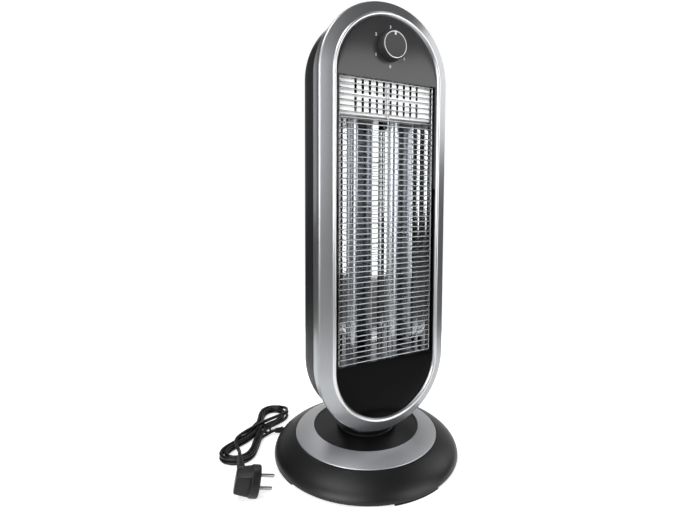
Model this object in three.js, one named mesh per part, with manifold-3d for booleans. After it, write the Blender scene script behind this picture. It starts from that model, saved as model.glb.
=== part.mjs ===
// Infrared heater: an upright head with two carbon tubes that swings on a round weighted base.
// Millimetres, +Z up. The origin is on the floor under the swing axis, and the front faces -Y.
import * as THREE from "three";
import { mergeVertices } from "three/addons/utils/BufferGeometryUtils.js";
import Module from "manifold-3d";

const wasm = await Module();
wasm.setup();

// Clearances, shared by the whole part
const fit = 0.3; // between pieces that rest on or in each other
const running = 0.5; // between pieces that turn or slide past each other
const weld = 0.2; // how deep two shapes of one piece sink into each other
const overrun = 1; // how far a cutter runs past what it cuts

// Base
const baseRadius = 140;
const rimHeight = 2.8; // from the floor to the lower edge of the skirt
const skirtBulgeHeight = 16; // height of the bend point of the skirt's curve
const ringInset = 32.2; // from the rim in to the ring's outer edge
const ringWidth = 27.7;
const ringOuterHeight = 29.8;
const ringInnerHeight = 38.7;
const ringThickness = 1.6;
const ringBevel = 0.8;
const deckDrop = 2.2; // from the ring's inner edge down to the deck
const baseWall = 2.5;
const plateThickness = 2;
const footWidth = 13;
const footInset = 0.4; // from the rim in to the feet
const footArcShare = 0.08; // part of a full turn that each foot spans
const weightGap = 2; // of air between the motor and the counterweight
const weightWidth = 26;
const weightHeight = 8;
const baseScrewOutset = 4.2; // from the ring's outer edge out to the screws
const baseScrewPlaceShare = 20 / 360; // part of a turn from +X to the first screw
const baseScrewRadius = 1.7;
const baseScrewHead = 4;
const baseScrewHeadHeight = 1;
const baseScrewLength = 12;
const baseBossRadius = 5;

// Tip-over switch in the base
const plungerRadius = 4;
const plungerGap = 4; // of air between the counterweight and the tip-over switch
const plungerTravel = 6;
const plungerFlange = 6.5;
const plungerFlangeThickness = 1;
const plungerStem = 2;
const tipSwitchWidth = 24;
const tipSwitchDepth = 14;
const tipSwitchHeight = 8;
const tipSwitchLeg = 3;
const springThickness = 1;
const springHeight = 4;

// Swing drive
const collarRadius = 44.3;
const collarThickness = 2.7;
const collarRound = 1;
const washerThickness = 1.2;
const washerInset = 2.3;
const journalRadius = 15;
const neckBore = 11.5;
const columnRadius = 36;
const columnFillet = 3;
const swingAngleShare = 37.5 / 360; // part of a turn that the head swings to each side
const motorReach = 32; // from the swing axis to the motor shaft
const motorRadius = 24;
const motorHeight = 16;
const motorEar = 4;
const shaftRadius = 2.5;
const crankThickness = 2.5;
const crankHalfWidth = 5;
const crankPinRadius = 3;
const crankPinStep = 2; // of air between the crank's bar and the arm
const armThickness = 2.5;
const armRim = 4; // material round the arm's slot
const armHubWall = 5;
const armSlotSlackShare = 0.112; // play on each side of the pin as a share of the motor's reach
const armNutHeight = 2.7;
const armNutWall = 3.5;
const neckNutRadius = 21;
const neckNutHeight = 5;
const neckPadRadius = 24;
const spigotEnd = 3; // of the neck above its nut

// Head
const headLift = 51.6; // from the floor to the lowest point of the front frame
const panelRadius = 80.3; // half width of the black panel inside the frame
const beadWidth = 7.2;
const beadRise = 3; // how far the bead stands in front of the panel
const slopeWidth = 16;
const edgeRound = 1.6; // of the frame's outer front edge
const sideTaper = 4.7; // how much narrower the frame is at its rear edge
const straightHeight = 396.3; // between the centres of the two round ends
const panelDepth = 61; // from the swing axis forward to the panel's face
const frameEdgeDepth = 53.3;
const jointDepth = 25; // where the front frame meets the rear shell
const backDepth = 50; // from the swing axis back to the rear face
const backHalfWidth = 38;
const shellBendDepth = 5; // in front of the swing axis, where the rear shell starts to curve
const headWall = 2.2;
const headScrewSlantShare = 35 / 360; // from straight up or down, round the ends
const headScrewRadius = 1.7;
const headScrewHead = 3.4;
const headScrewHeadHeight = 2.4;
const headScrewReach = 14; // into the front frame
const headScrewSink = 16; // of the screw heads below the rear shell's surface
const headBossRadius = 4.5;
const headBossWall = 1.2; // round the screw heads in the rear shell
const rearVents = 5;
const rearVentPitch = 12;
const rearVentHeight = 4;
const rearVentLength = 60;
const rearVentInset = 30; // from the round ends' centres inward to the first slot

// Panel and heating cavity
const railWidth = 1.8; // of the panel beside the opening
const openingBottomRise = 3.2; // above the lower arc centre
const openingTopDrop = 3.8; // below the upper arc centre
const panelThickness = 2.5;
const flangeThickness = 2;
const flangeWidth = 7.5;
const recessDepth = 8.5;
const recessWall = 1.8;
const sheet = 0.8; // thickness of the aluminium sheets
const tubePitch = 69.8;
const tubeRadius = 8;
const tubeWall = 1.5;
const tubeDepth = 16.5; // from the swing axis forward to the tubes
const capWall = 1.2;
const capHeight = 20;
const upperCapHeight = 22;
const upperCapRise = 4; // above the reflector's top
const capFloor = 6;
const filamentHalfWidth = 2.6;
const filamentHalfThickness = 0.4;
const filamentTwists = 6;
const reflectorFaceDepth = 23.5; // from the swing axis forward to the ridge and the flanges
const reflectorDepth = 29.5; // from those faces back to the trough's floor
const reflectorLip = 25.5; // side lips that turn forward
const reflectorRidge = 4.6; // half width of the flat ridge between the troughs
const reflectorFlange = 14.4; // width of the flat strip beside each trough
const cavityTopDrop = 35; // from the upper arc centre down to the reflector's top
const shieldGap = 8; // of air behind the reflector
const cutoutRadius = 8;
const cutoutHeight = 7;
const cutoutTabHalf = 11;
const cutoutTabHalfDepth = 3;

// Slotted plate across the top of the opening
const ventPlateDepth = 54;
const ventPlateInset = 3.7; // from the opening's sides
const ventPlateBottomDrop = 54; // below the upper arc centre
const ventPlateTuck = 4; // behind the panel, above the opening
const ventSlotPitch = 11.1;
const ventSlotWidth = 3;
const ventSlotHeight = 20;
const ventRowGap = 5;
const ventSlotRise = 4; // above the plate's lower edge
const ventSlots = 10;
const ventRows = 2;

// Guard
const guardEnd = 2; // least room above and below the wires
const guardPitch = 7.4;
const guardWire = 1.8;
const guardDepth = 58.4;
const guardReturn = 9;
const guardUprightInset = 3; // from the guard's side to its outer uprights

// Dial
const knobRadius = 20;
const knobFaceRadius = 18.6;
const knobHeight = 12.4;
const dialRise = 41.1; // above the upper arc centre
const knobWall = 1.8;
const knobEdge = 1.2;
const knobHubWall = 2.5;
const knobRingInset = 0.8;
const knobRingWidth = 1.2;
const knobRingDepth = 0.9;
const spindleRadius = 3;
const dialSwitchHalf = 14;
const dialSwitchDepth = 17;

// Mains lead and its outlet
const cordRadius = 2.5;
const outletPlaceShare = 136.6 / 360; // part of a turn from +X to where the lead leaves the skirt
const outletHeadingShare = 162 / 360; // part of a turn from +X to the way that it points there
const outletHeight = 5.5;
const outletNeckRadius = 3.8;
const outletFlangeThickness = 2;
const outletDepth = 11; // from the skirt's outside in to the inner flange
const bootLength = 13; // of the tapered boot outside the skirt
const bootRadius = 4.8;
const bootTipRadius = 3.6;
const clampRadius = 8;
const clampRoof = 2.5;

// Hank of the spare lead, and its tie
const hankFromOutletX = -38.73; // to the hank's middle
const hankFromOutletY = 12.34;
const hankHeadingShare = 226 / 360; // part of a turn from +X to its long axis
const hankReach = 82.2; // half length of the outer loop
const hankInnerReach = 76.5;
const hankFlare = 46.2; // half width that the outer loop would have without its waist
const hankInnerFlare = 35.15;
const hankPinch = 36.36; // how far the outer loop is drawn in at the waist
const hankInnerPinch = 31.9;
const hankBow = 4.5; // how far the hank bends sideways at its ends
const hankLayerStep = 5.85;
const hankLowest = 2.6;
const hankTieLift = 1.5;
const hankTieReach = 24; // how far the tie's lift spreads along the hank
const hankTiePlace = 12; // from the middle of the hank back to its tie
const hankInwardShare = 0.5; // of the step between loops, where the climbing loop swings inward
const hankStartTurns = 0.042; // counted from the waist on the side of the base
const hankEndTurns = 3.86;
const hankStepsPerTurn = 24;
const tieWidth = 6;
const tieThickness = 0.7;

// Plug
const plugFromHankX = -38.6; // to the middle of the plug's face
const plugFromHankY = -142.5;
const plugHeadingShare = -16 / 360; // part of a turn from +X to the way that its pins point
const plugTiltShare = 11 / 360; // part of a turn that its pins point down
const plugRadius = 19.5;
const plugBackRadius = 15.5;
const plugDepth = 31;
const plugEdge = 1.5;
const plugPinRadius = 2.2;
const plugPinLength = 18;
const plugPinSpacing = 17;
const plugReliefHeadingShare = 95.4 / 360; // from the pins' heading to the relief's
const plugReliefLength = 53; // from inside the body to the relief's tip
const plugReliefRadius = 6;
const plugReliefTipRadius = 3.7;
const plugReliefBack = 22; // from the plug's face back to where the relief starts
const plugReliefSide = 4; // and from there sideways
const plugReliefDrop = 1.5; // below the plug's axis

// Roundness
const roundSteps = 40;
const turnedSteps = 24;
const arcSteps = 13;
const tubeSteps = 14;
const smallSteps = 10;
const screwSteps = 8;
const curveSteps = 5;
const cordSides = 8;

// Places worked out from the sizes above
const turn = 2 * Math.PI;
const ringOuterRadius = baseRadius - ringInset;
const ringInnerRadius = ringOuterRadius - ringWidth;
const baseScrewCircle = ringOuterRadius + baseScrewOutset;
const weightInner = motorReach + motorRadius + weightGap;
const weightOuter = weightInner + weightWidth;
const plungerReach = weightOuter + plungerGap + tipSwitchDepth / 2;
const beadOuter = panelRadius + beadWidth;
const frameRadius = beadOuter + slopeWidth;
const headScrewCircle = beadOuter + fit + headBossRadius; // about the round ends' centres
const jointRadius = frameRadius - sideTaper;
const lowerCentre = headLift + frameRadius;
const upperCentre = lowerCentre + straightHeight;
const openingHalfWidth = panelRadius - railWidth;
const openingBottom = lowerCentre + openingBottomRise;
const openingTop = upperCentre - openingTopDrop;
const guardWires = 1 + Math.floor((openingTop - openingBottom - 2 * guardEnd) / guardPitch);
const cavityTop = upperCentre - cavityTopDrop;
const panelBack = panelDepth - panelThickness;
const flangeFront = panelBack + weld;
const flangeBack = panelBack - flangeThickness;
const recessBack = panelBack - recessDepth;
const deckTop = ringInnerHeight - deckDrop;
const deckUnder = deckTop - baseWall;
const plateTop = rimHeight + plateThickness;
const plateSeat = plateTop + fit;
const collarBottom = deckTop + fit + washerThickness + fit;
const collarTop = collarBottom + collarThickness;
const armTop = deckUnder - running;
const armBottom = armTop - armThickness;
const crankTop = armBottom - crankPinStep;
const crankBottom = crankTop - crankThickness;
const crankThrow = motorReach * Math.sin(swingAngleShare * turn);
const motorTop = plateSeat + motorHeight;
const journalBottom = armBottom - fit - armNutHeight;
const hubRadius = journalRadius + armHubWall;
const tubeOffset = tubePitch / 2;
const capRadius = tubeRadius + fit + capWall;
const ventPlateHalf = openingHalfWidth - ventPlateInset;
const reflectorHalf = openingHalfWidth + sheet;
const reflectorBack = reflectorDepth - reflectorFaceDepth;
const dialHeight = upperCentre + dialRise;

// Materials
const finish = (color, roughness, metalness) =>
  new THREE.MeshStandardMaterial({ color, roughness, metalness });
const blackPlastic = finish(0x1c1d1f, 0.42, 0);
const glossBlack = finish(0x0d0d0f, 0.18, 0);
const silverPaint = finish(0x9b9da1, 0.34, 0.75);
const chromeWire = finish(0xd8dadc, 0.12, 1);
const brightSheet = finish(0xe2e3e4, 0.16, 1);
const zincSteel = finish(0x9ea2a5, 0.45, 0.9);
const darkSteel = finish(0x55585b, 0.55, 0.85);
const quartz = finish(0xdfe3e6, 0.08, 0);
const carbon = finish(0x1a1a1c, 0.8, 0.1);
const ceramic = finish(0xe9e6de, 0.7, 0);
const blackRubber = finish(0x151515, 0.85, 0);
const cordCover = finish(0x121214, 0.5, 0);
const nylon = finish(0xe4e0d4, 0.6, 0);

// What moves together is in one group
const heater = new THREE.Group();
const base = new THREE.Group();
const head = new THREE.Group();
const crank = new THREE.Group();
const dial = new THREE.Group();
const plunger = new THREE.Group();
heater.add(base, head, crank, plunger);
head.add(dial);

// A closed geometry as a manifold-3d solid with its faces turned outward.
function solid(geometry) {
  const bare = new THREE.BufferGeometry();
  const flat = geometry.index ? geometry.toNonIndexed() : geometry;
  bare.setAttribute("position", flat.getAttribute("position"));
  const merged = mergeVertices(bare, weld / 200);
  const triVerts = new Uint32Array(merged.index.array);
  const vertProperties = merged.attributes.position.array;
  const made = new wasm.Manifold(new wasm.Mesh({ numProp: 3, vertProperties, triVerts }));
  if (made.volume() > 0) return made;
  for (let i = 0; i < triVerts.length; i += 3) {
    [triVerts[i + 1], triVerts[i + 2]] = [triVerts[i + 2], triVerts[i + 1]];
  }
  return new wasm.Manifold(new wasm.Mesh({ numProp: 3, vertProperties, triVerts }));
}

function geometryOf(shape) {
  const mesh = shape.getMesh();
  const positions = new Float32Array(mesh.numVert * 3);
  for (let i = 0; i < mesh.numVert; i++) {
    const start = i * mesh.numProp;
    positions.set(mesh.vertProperties.subarray(start, start + 3), i * 3);
  }
  const geometry = new THREE.BufferGeometry();
  geometry.setAttribute("position", new THREE.BufferAttribute(positions, 3));
  geometry.setIndex(new THREE.BufferAttribute(mesh.triVerts, 1));
  geometry.computeVertexNormals();
  return geometry;
}

const joined = (shapes) => shapes.reduce((whole, shape) => whole.add(shape));
const cut = (shape, cutters) => cutters.reduce((left, cutter) => left.subtract(cutter), shape);

function place(group, name, shape, material) {
  const mesh = new THREE.Mesh(geometryOf(shape), material);
  mesh.name = name;
  group.add(mesh);
  return mesh;
}

// A box given by its lowest and highest corner.
function box([x0, y0, z0], [x1, y1, z1]) {
  const geometry = new THREE.BoxGeometry(x1 - x0, y1 - y0, z1 - z0);
  return solid(geometry.translate((x0 + x1) / 2, (y0 + y1) / 2, (z0 + z1) / 2));
}

// A box between an inner and an outer X on the left or the right side.
function sideBox(side, [inner, outer], [y0, y1], [z0, z1]) {
  const [low, high] = side > 0 ? [inner, outer] : [-outer, -inner];
  return box([low, y0, z0], [high, y1, z1]);
}

// A solid of revolution about +Z. The profile holds [radius, height] pairs and closes on itself.
function turned(profile, steps = roundSteps) {
  const points = profile.map(([radius, height]) => new THREE.Vector2(radius, height));
  points.push(points[0].clone());
  return new THREE.LatheGeometry(points, steps).rotateX(turn / 4);
}

// A ring or tube that stands on +Z between two heights.
function ring(inner, outer, bottom, top, steps = turnedSteps) {
  return turned([[inner, bottom], [outer, bottom], [outer, top], [inner, top]], steps);
}

// A full cylinder that stands on +Z between two heights.
function post(radius, bottom, top, steps = smallSteps, x = 0, y = 0) {
  const outline = [[0, bottom], [radius, bottom], [radius, top], [0, top]];
  const points = outline.map(([across, height]) => new THREE.Vector2(across, height));
  const geometry = new THREE.LatheGeometry(points, steps).rotateX(turn / 4);
  return solid(geometry.translate(x, y, 0));
}

// A full cylinder along Y, from its front end back to its rear end.
function bar(radius, front, back, steps = smallSteps, x = 0, z = 0) {
  const outline = [[0, front], [radius, front], [radius, back], [0, back]];
  const points = outline.map(([across, along]) => new THREE.Vector2(across, along));
  return solid(new THREE.LatheGeometry(points, steps).translate(x, 0, z));
}

// A prism of an outline in X and Y that stands on +Z.
function standing(outline, bottom, top) {
  const shape = new THREE.Shape(outline.map(([x, y]) => new THREE.Vector2(x, y)));
  const geometry = new THREE.ExtrudeGeometry(shape, { depth: top - bottom, bevelEnabled: false });
  return solid(geometry.translate(0, 0, bottom));
}

// A round cord along a path.
function cord(path, radius, steps) {
  const section = new THREE.Shape();
  section.absarc(0, 0, radius, 0, turn);
  const settings = { steps, extrudePath: path, curveSegments: cordSides / 2 };
  return solid(new THREE.ExtrudeGeometry(section, settings));
}

// Skins rings of equally many points. The rings close on themselves, or a fan caps each end.
function loft(rings, closed) {
  const count = rings[0].length;
  const faces = [];
  const spans = closed ? rings.length : rings.length - 1;
  for (let r = 0; r < spans; r++) {
    const next = ((r + 1) % rings.length) * count;
    for (let i = 0; i < count; i++) {
      const beside = (i + 1) % count;
      faces.push(r * count + i, r * count + beside, next + beside);
      faces.push(r * count + i, next + beside, next + i);
    }
  }
  const end = (rings.length - 1) * count;
  for (let i = 1; !closed && i < count - 1; i++) {
    faces.push(0, i + 1, i);
    faces.push(end, end + i, end + i + 1);
  }
  const geometry = new THREE.BufferGeometry();
  geometry.setAttribute("position", new THREE.Float32BufferAttribute(rings.flat(2), 3));
  geometry.setIndex(faces);
  return solid(geometry);
}

// The points round the head's upright oblong, at one depth.
function oblong(radius, y) {
  const points = [];
  for (const [centre, start] of [[upperCentre, 0], [lowerCentre, turn / 2]]) {
    for (let i = 0; i <= arcSteps; i++) {
      const angle = start + (i / arcSteps) * (turn / 2);
      points.push([radius * Math.cos(angle), y, centre + radius * Math.sin(angle)]);
    }
  }
  return points;
}

// A profile of [radius, y] pairs carried round the oblong.
const oblongRing = (profile) => loft(profile.map(([radius, y]) => oblong(radius, y)), true);
const oblongBlock = (profile) => loft(profile.map(([radius, y]) => oblong(radius, y)), false);

// The closed outline of a folded sheet: its front face, then its back face in reverse.
function folded(front, thickness) {
  const back = front.map(([x, y], i) => {
    const [xBefore, yBefore] = front[Math.max(i - 1, 0)];
    const [xAfter, yAfter] = front[Math.min(i + 1, front.length - 1)];
    const into = new THREE.Vector2(x - xBefore, y - yBefore).normalize();
    const out = new THREE.Vector2(xAfter - x, yAfter - y).normalize();
    const along = into.clone().add(out).normalize();
    const edge = i === 0 ? out : into;
    const reach = thickness / along.dot(edge);
    return [x - along.y * reach, y + along.x * reach];
  });
  return [...front, ...back.reverse()];
}

const onCircle = (radius, share) => [radius * Math.cos(share * turn), radius * Math.sin(share * turn)];

// The points of a curve that bends from one [a, b] pair to another by way of a third.
function bend(from, by, to, steps = curveSteps) {
  const [start, middle, end] = [from, by, to].map(([a, b]) => new THREE.Vector2(a, b));
  const curve = new THREE.QuadraticBezierCurve(start, middle, end);
  return curve.getPoints(steps).map((point) => [point.x, point.y]);
}

// Outside of the skirt, moved outward by a gap.
const skirt = (gap) =>
  bend(
    [baseRadius + gap, rimHeight],
    [baseRadius + gap - fit, skirtBulgeHeight + gap],
    [ringOuterRadius + fit + gap, ringOuterHeight - fit + gap],
    curveSteps + 1,
  );

// Underside of the ring at a radius.
function ringUnder(radius) {
  const share = (radius - ringInnerRadius) / (ringOuterRadius - ringInnerRadius);
  return ringInnerHeight - share * (ringInnerHeight - ringOuterHeight) - ringThickness;
}

// The lead's outlet: where it crosses the skirt, which way it points, and shapes turned about it.
const [outletX, outletY] = onCircle(baseRadius - baseWall / 4, outletPlaceShare);
const [outletAlongX, outletAlongY] = onCircle(1, outletHeadingShare);
const outletPoint = (distance, height = outletHeight, aside = 0) =>
  new THREE.Vector3(
    outletX + outletAlongX * distance - outletAlongY * aside,
    outletY + outletAlongY * distance + outletAlongX * aside,
    height,
  );

function atOutlet(profile) {
  const geometry = turned(profile, tubeSteps).rotateY(turn / 4).rotateZ(outletHeadingShare * turn);
  return solid(geometry.translate(outletX, outletY, outletHeight));
}

// The hank lies beside the outlet, and the plug in front of the hank.
const [hankX, hankY] = [outletX + hankFromOutletX, outletY + hankFromOutletY];
const [plugX, plugY] = [hankX + plugFromHankX, hankY + plugFromHankY];

const baseScrewPlaces = [0, 1, 2, 3].map((i) => onCircle(baseScrewCircle, baseScrewPlaceShare + i / 4));

function makeBaseShell() {
  const inside = bend(
    [baseRadius - baseWall, rimHeight],
    [baseRadius - baseWall - fit, skirtBulgeHeight - baseWall],
    [ringOuterRadius - baseWall / 2, ringUnder(ringOuterRadius) - fit - baseWall],
  );
  const profile = [
    ...skirt(0),
    [ringOuterRadius + fit, ringUnder(ringOuterRadius) - fit],
    [ringInnerRadius, ringUnder(ringInnerRadius) - fit],
    [ringInnerRadius - baseWall, deckTop],
    [journalRadius + running, deckTop],
    [journalRadius + running, deckUnder],
    [ringInnerRadius - baseWall, deckUnder],
    ...inside.reverse(),
  ];
  const bossTop = ringUnder(baseScrewCircle) - baseWall;
  const bosses = baseScrewPlaces.map(([x, y]) => post(baseBossRadius, plateSeat, bossTop, screwSteps, x, y));
  const boreTop = rimHeight + baseScrewHeadHeight + baseScrewLength + overrun;
  const bores = baseScrewPlaces.map(([x, y]) =>
    post(baseScrewRadius + fit, plateTop, boreTop, screwSteps, x, y),
  );
  const neckway = outletNeckRadius + fit;
  const notch = [
    [0, -outletDepth],
    [neckway, -outletDepth],
    [neckway, bootLength / 2],
    [0, bootLength / 2],
  ];
  const shell = joined([solid(turned(profile)), ...bosses]);
  place(base, "base_shell", cut(shell, [...bores, atOutlet(notch)]), blackPlastic);
}

function makeTrimRing() {
  const profile = [
    [ringOuterRadius, ringUnder(ringOuterRadius)],
    [ringOuterRadius, ringOuterHeight - ringBevel],
    [ringOuterRadius - ringBevel, ringOuterHeight + ringBevel / 3],
    [ringInnerRadius + ringBevel / 2, ringInnerHeight],
    [ringInnerRadius, ringInnerHeight - ringBevel / 2],
    [ringInnerRadius, ringUnder(ringInnerRadius)],
  ];
  place(base, "trim_ring", solid(turned(profile)), silverPaint);
}

function makeBasePlate() {
  const plate = post(baseRadius - baseWall - 4 * fit, rimHeight, plateTop, roundSteps);
  const under = rimHeight - overrun;
  const over = plateTop + overrun;
  const holes = baseScrewPlaces.flatMap(([x, y]) => [
    post(baseScrewRadius + fit, under, over, screwSteps, x, y),
    post(baseScrewHead + fit, under, rimHeight + baseScrewHeadHeight + fit, screwSteps, x, y),
  ]);
  holes.push(post(plungerRadius + running, under, over, smallSteps, 0, -plungerReach));
  const slotHalf = bootRadius + fit;
  const slotLength = 2 * bootLength;
  const slot = new THREE.BoxGeometry(2 * slotLength, 2 * slotHalf, over - under);
  slot.rotateZ(outletHeadingShare * turn).translate(outletX, outletY, (over + under) / 2);
  place(base, "base_plate", cut(plate, [...holes, solid(slot)]), blackPlastic);

  const weight = ring(weightInner, weightOuter, plateSeat, plateSeat + weightHeight, turnedSteps);
  place(base, "counterweight", solid(weight), darkSteel);

  baseScrewPlaces.forEach(([x, y], i) => {
    const headTop = rimHeight + baseScrewHeadHeight;
    const cap = post(baseScrewHead, rimHeight, headTop, screwSteps, x, y);
    const shank = post(baseScrewRadius, rimHeight + weld, headTop + baseScrewLength, screwSteps, x, y);
    place(base, "base_screw_" + (i + 1), cap.add(shank), zincSteel);
  });
}

// Four rubber pads, each an arc of the rim.
function makeFeet() {
  const steps = curveSteps;
  const outer = baseRadius - footInset;
  ["foot_right", "foot_rear", "foot_left", "foot_front"].forEach((name, i) => {
    const shares = Array.from({ length: steps + 1 }, (_, k) => i / 4 + (k / steps - 1 / 2) * footArcShare);
    const outside = shares.map((share) => onCircle(outer, share));
    const inside = shares.map((share) => onCircle(outer - footWidth, share)).reverse();
    place(base, name, standing([...outside, ...inside], 0, rimHeight - fit), blackRubber);
  });
}

// Tip-over switch: the floor holds the plunger in, and it drops when the heater is lifted.
function makeTipSwitch() {
  const flangeBottom = plateSeat + plungerTravel;
  const flangeTop = flangeBottom + plungerFlangeThickness;
  const switchBottom = flangeTop + fit + springHeight + fit;
  const switchTop = switchBottom + tipSwitchHeight;
  const front = -plungerReach - tipSwitchDepth / 2;
  const back = front + tipSwitchDepth;
  const half = tipSwitchWidth / 2;
  const at = [smallSteps, 0, -plungerReach];

  const body = box([-half, front, switchBottom], [half, back, switchTop]);
  const legs = [-1, 1].map((side) =>
    sideBox(side, [half - tipSwitchLeg, half], [front, back], [plateSeat, switchBottom + weld]),
  );
  const boreTop = switchBottom + tipSwitchHeight / 2;
  const bore = post(plungerStem + running, switchBottom - overrun, boreTop, ...at);
  place(base, "tip_switch", cut(joined([body, ...legs]), [bore]), blackPlastic);

  const springInner = plungerStem + running;
  const spring = ring(springInner, springInner + springThickness, flangeTop + fit, switchBottom - fit, smallSteps);
  place(base, "tip_spring", solid(spring.translate(0, -plungerReach, 0)), zincSteel);

  const foot = post(plungerRadius, 0, flangeTop, ...at);
  const flange = post(plungerFlange, flangeBottom, flangeTop, ...at);
  const stem = post(plungerStem, flangeTop - weld, boreTop - tipSwitchHeight / 4, ...at);
  place(plunger, "tip_plunger", joined([foot, flange, stem]), nylon);
}

// The motor stands in the base, and its crank pin swings the slotted arm on the neck.
function makeSwingDrive() {
  const earTop = plateSeat + plateThickness;
  const earReach = motorRadius + motorEar;
  const motor = post(motorRadius, plateSeat, motorTop, turnedSteps, motorReach);
  const shaft = post(shaftRadius, motorTop - weld, crankTop - fit, smallSteps, motorReach);
  const ears = box(
    [motorReach - motorEar, -earReach, plateSeat],
    [motorReach + motorEar, earReach, earTop],
  );
  place(base, "swivel_motor", joined([motor, shaft, ears]), zincSteel);

  const pinX = motorReach + crankThrow;
  const hubBottom = motorTop + running;
  const web = box([motorReach, -crankHalfWidth, crankBottom], [pinX, crankHalfWidth, crankTop]);
  const hub = post(crankHalfWidth, hubBottom, crankTop, smallSteps, motorReach);
  const tip = post(crankHalfWidth, crankBottom, crankTop, smallSteps, pinX);
  const pin = post(crankPinRadius, crankTop - weld, armTop - fit, smallSteps, pinX);
  const bore = post(shaftRadius + fit, hubBottom - overrun, crankTop + overrun, smallSteps, motorReach);
  place(crank, "crank", cut(joined([web, hub, tip]), [bore]).add(pin), nylon);

  const slotHalf = crankPinRadius + motorReach * armSlotSlackShare + running;
  const slotStart = Math.sqrt(motorReach ** 2 - crankThrow ** 2) - crankPinRadius - running;
  const slotEnd = pinX + crankPinRadius + running;
  const blade = box(
    [0, -slotHalf - armRim, armBottom],
    [slotEnd + armRim, slotHalf + armRim, armTop],
  );
  const disc = post(hubRadius, armBottom, armTop, turnedSteps);
  const slot = box(
    [slotStart, -slotHalf, armBottom - overrun],
    [slotEnd, slotHalf, armTop + overrun],
  );
  const armBore = post(journalRadius + fit, armBottom - overrun, armTop + overrun, turnedSteps);
  place(head, "swing_arm", cut(joined([blade, disc]), [slot, armBore]), zincSteel);

  const nutOuter = journalRadius + fit + armNutWall;
  const nut = ring(journalRadius + fit, nutOuter, journalBottom, armBottom - fit);
  place(head, "arm_nut", solid(nut), zincSteel);

  const washerOuter = collarRadius - washerInset;
  const washer = ring(journalRadius + running, washerOuter, deckTop + fit, deckTop + fit + washerThickness);
  place(base, "thrust_washer", solid(washer), nylon);
}

// The rear shell's quarter ellipse from its side to its flat back, moved outward by a gap.
function shellCurve(gap, steps = curveSteps) {
  const across = jointRadius + gap - backHalfWidth;
  const deep = backDepth + shellBendDepth + gap;
  const points = [];
  for (let i = 0; i <= steps; i++) {
    const angle = (i / steps) * (turn / 4);
    points.push([backHalfWidth + across * Math.cos(angle), deep * Math.sin(angle) - shellBendDepth]);
  }
  return points;
}

// The front frame's side, from its rear edge forward, moved outward by a gap.
const frameSide = (gap) =>
  bend(
    [jointRadius + gap, -jointDepth],
    [frameRadius + gap, -(jointDepth + frameEdgeDepth) / 2],
    [frameRadius + gap, -frameEdgeDepth],
    3,
  );

// How wide the rear shell is at a depth behind the swing axis, and how deep it is at a radius.
function shellRadiusAt(y, gap) {
  const share = (y + shellBendDepth) / (backDepth + shellBendDepth + gap);
  return backHalfWidth + (jointRadius + gap - backHalfWidth) * Math.sqrt(1 - share ** 2);
}
function shellDepthAt(radius) {
  const share = (radius - backHalfWidth) / (jointRadius - backHalfWidth);
  return (backDepth + shellBendDepth) * Math.sqrt(1 - share ** 2) - shellBendDepth;
}

const shellFloor = lowerCentre - shellRadiusAt(neckPadRadius, -headWall) + fit;
const neckNutTop = shellFloor + fit + neckNutHeight;

function makeNeck() {
  const edge = [frameRadius + fit, -frameEdgeDepth - edgeRound];
  const envelope = oblongBlock([edge, ...frameSide(fit).reverse(), ...shellCurve(fit)]);
  const profile = [
    [neckBore, journalBottom],
    [journalRadius, journalBottom],
    [journalRadius, collarBottom],
    [collarRadius, collarBottom],
    [collarRadius, collarTop - collarRound],
    [collarRadius - collarRound, collarTop],
    ...bend([columnRadius + columnFillet, collarTop], [columnRadius, collarTop], [columnRadius, collarTop + columnFillet], 3),
    [columnRadius, lowerCentre],
    [neckBore, lowerCentre],
  ];
  const column = solid(turned(profile, turnedSteps)).subtract(envelope);
  const spigot = ring(neckBore, journalRadius, journalBottom, neckNutTop + spigotEnd);
  place(head, "neck", column.add(solid(spigot)), blackPlastic);

  const nut = ring(journalRadius + fit, neckNutRadius, shellFloor + fit, neckNutTop);
  place(head, "neck_nut", solid(nut), nylon);
}

// Screws that hold the rear shell to the front frame: two low and two high.
const headScrewPlaces = [-1, 1].flatMap((side) => {
  const [along, across] = onCircle(headScrewCircle, headScrewSlantShare);
  return [
    [side * across, lowerCentre - along],
    [side * across, upperCentre + along],
  ];
});

// Shares of the bead's width, outward from the panel, and of its rise above the panel's face.
const beadShares = [
  [0.93, 0.35],
  [0.73, 1],
  [0.42, 0.97],
  [0.12, 0.1],
  [0, -0.1],
];

function makeFrontFrame() {
  const lipBack = flangeFront + fit;
  const inside = bend(
    [frameRadius - headWall, 2 * edgeRound - frameEdgeDepth],
    [frameRadius - headWall, -(jointDepth + frameEdgeDepth) / 2],
    [jointRadius - headWall, -jointDepth],
    3,
  );
  const bead = beadShares.map(([across, rise]) => [
    panelRadius + beadWidth * across,
    -panelDepth - beadRise * rise,
  ]);
  const profile = [
    ...frameSide(0),
    [frameRadius - edgeRound, -frameEdgeDepth - edgeRound],
    [beadOuter + edgeRound / 2, -panelDepth - edgeRound / 3],
    ...bead,
    [panelRadius, -lipBack],
    [beadOuter + edgeRound / 2, -lipBack],
    [frameRadius - headWall - edgeRound, -frameEdgeDepth],
    ...inside,
  ];
  const bossFront = -frameEdgeDepth - 2 * edgeRound;
  const bosses = headScrewPlaces.map(([x, z]) =>
    bar(headBossRadius, bossFront, -jointDepth - fit, screwSteps, x, z),
  );
  const boreFront = -jointDepth - headScrewReach - overrun;
  const bores = headScrewPlaces.map(([x, z]) =>
    bar(headScrewRadius + fit, boreFront, overrun - jointDepth, screwSteps, x, z),
  );
  place(head, "front_frame", cut(joined([oblongRing(profile), ...bosses]), bores), silverPaint);
}

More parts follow.
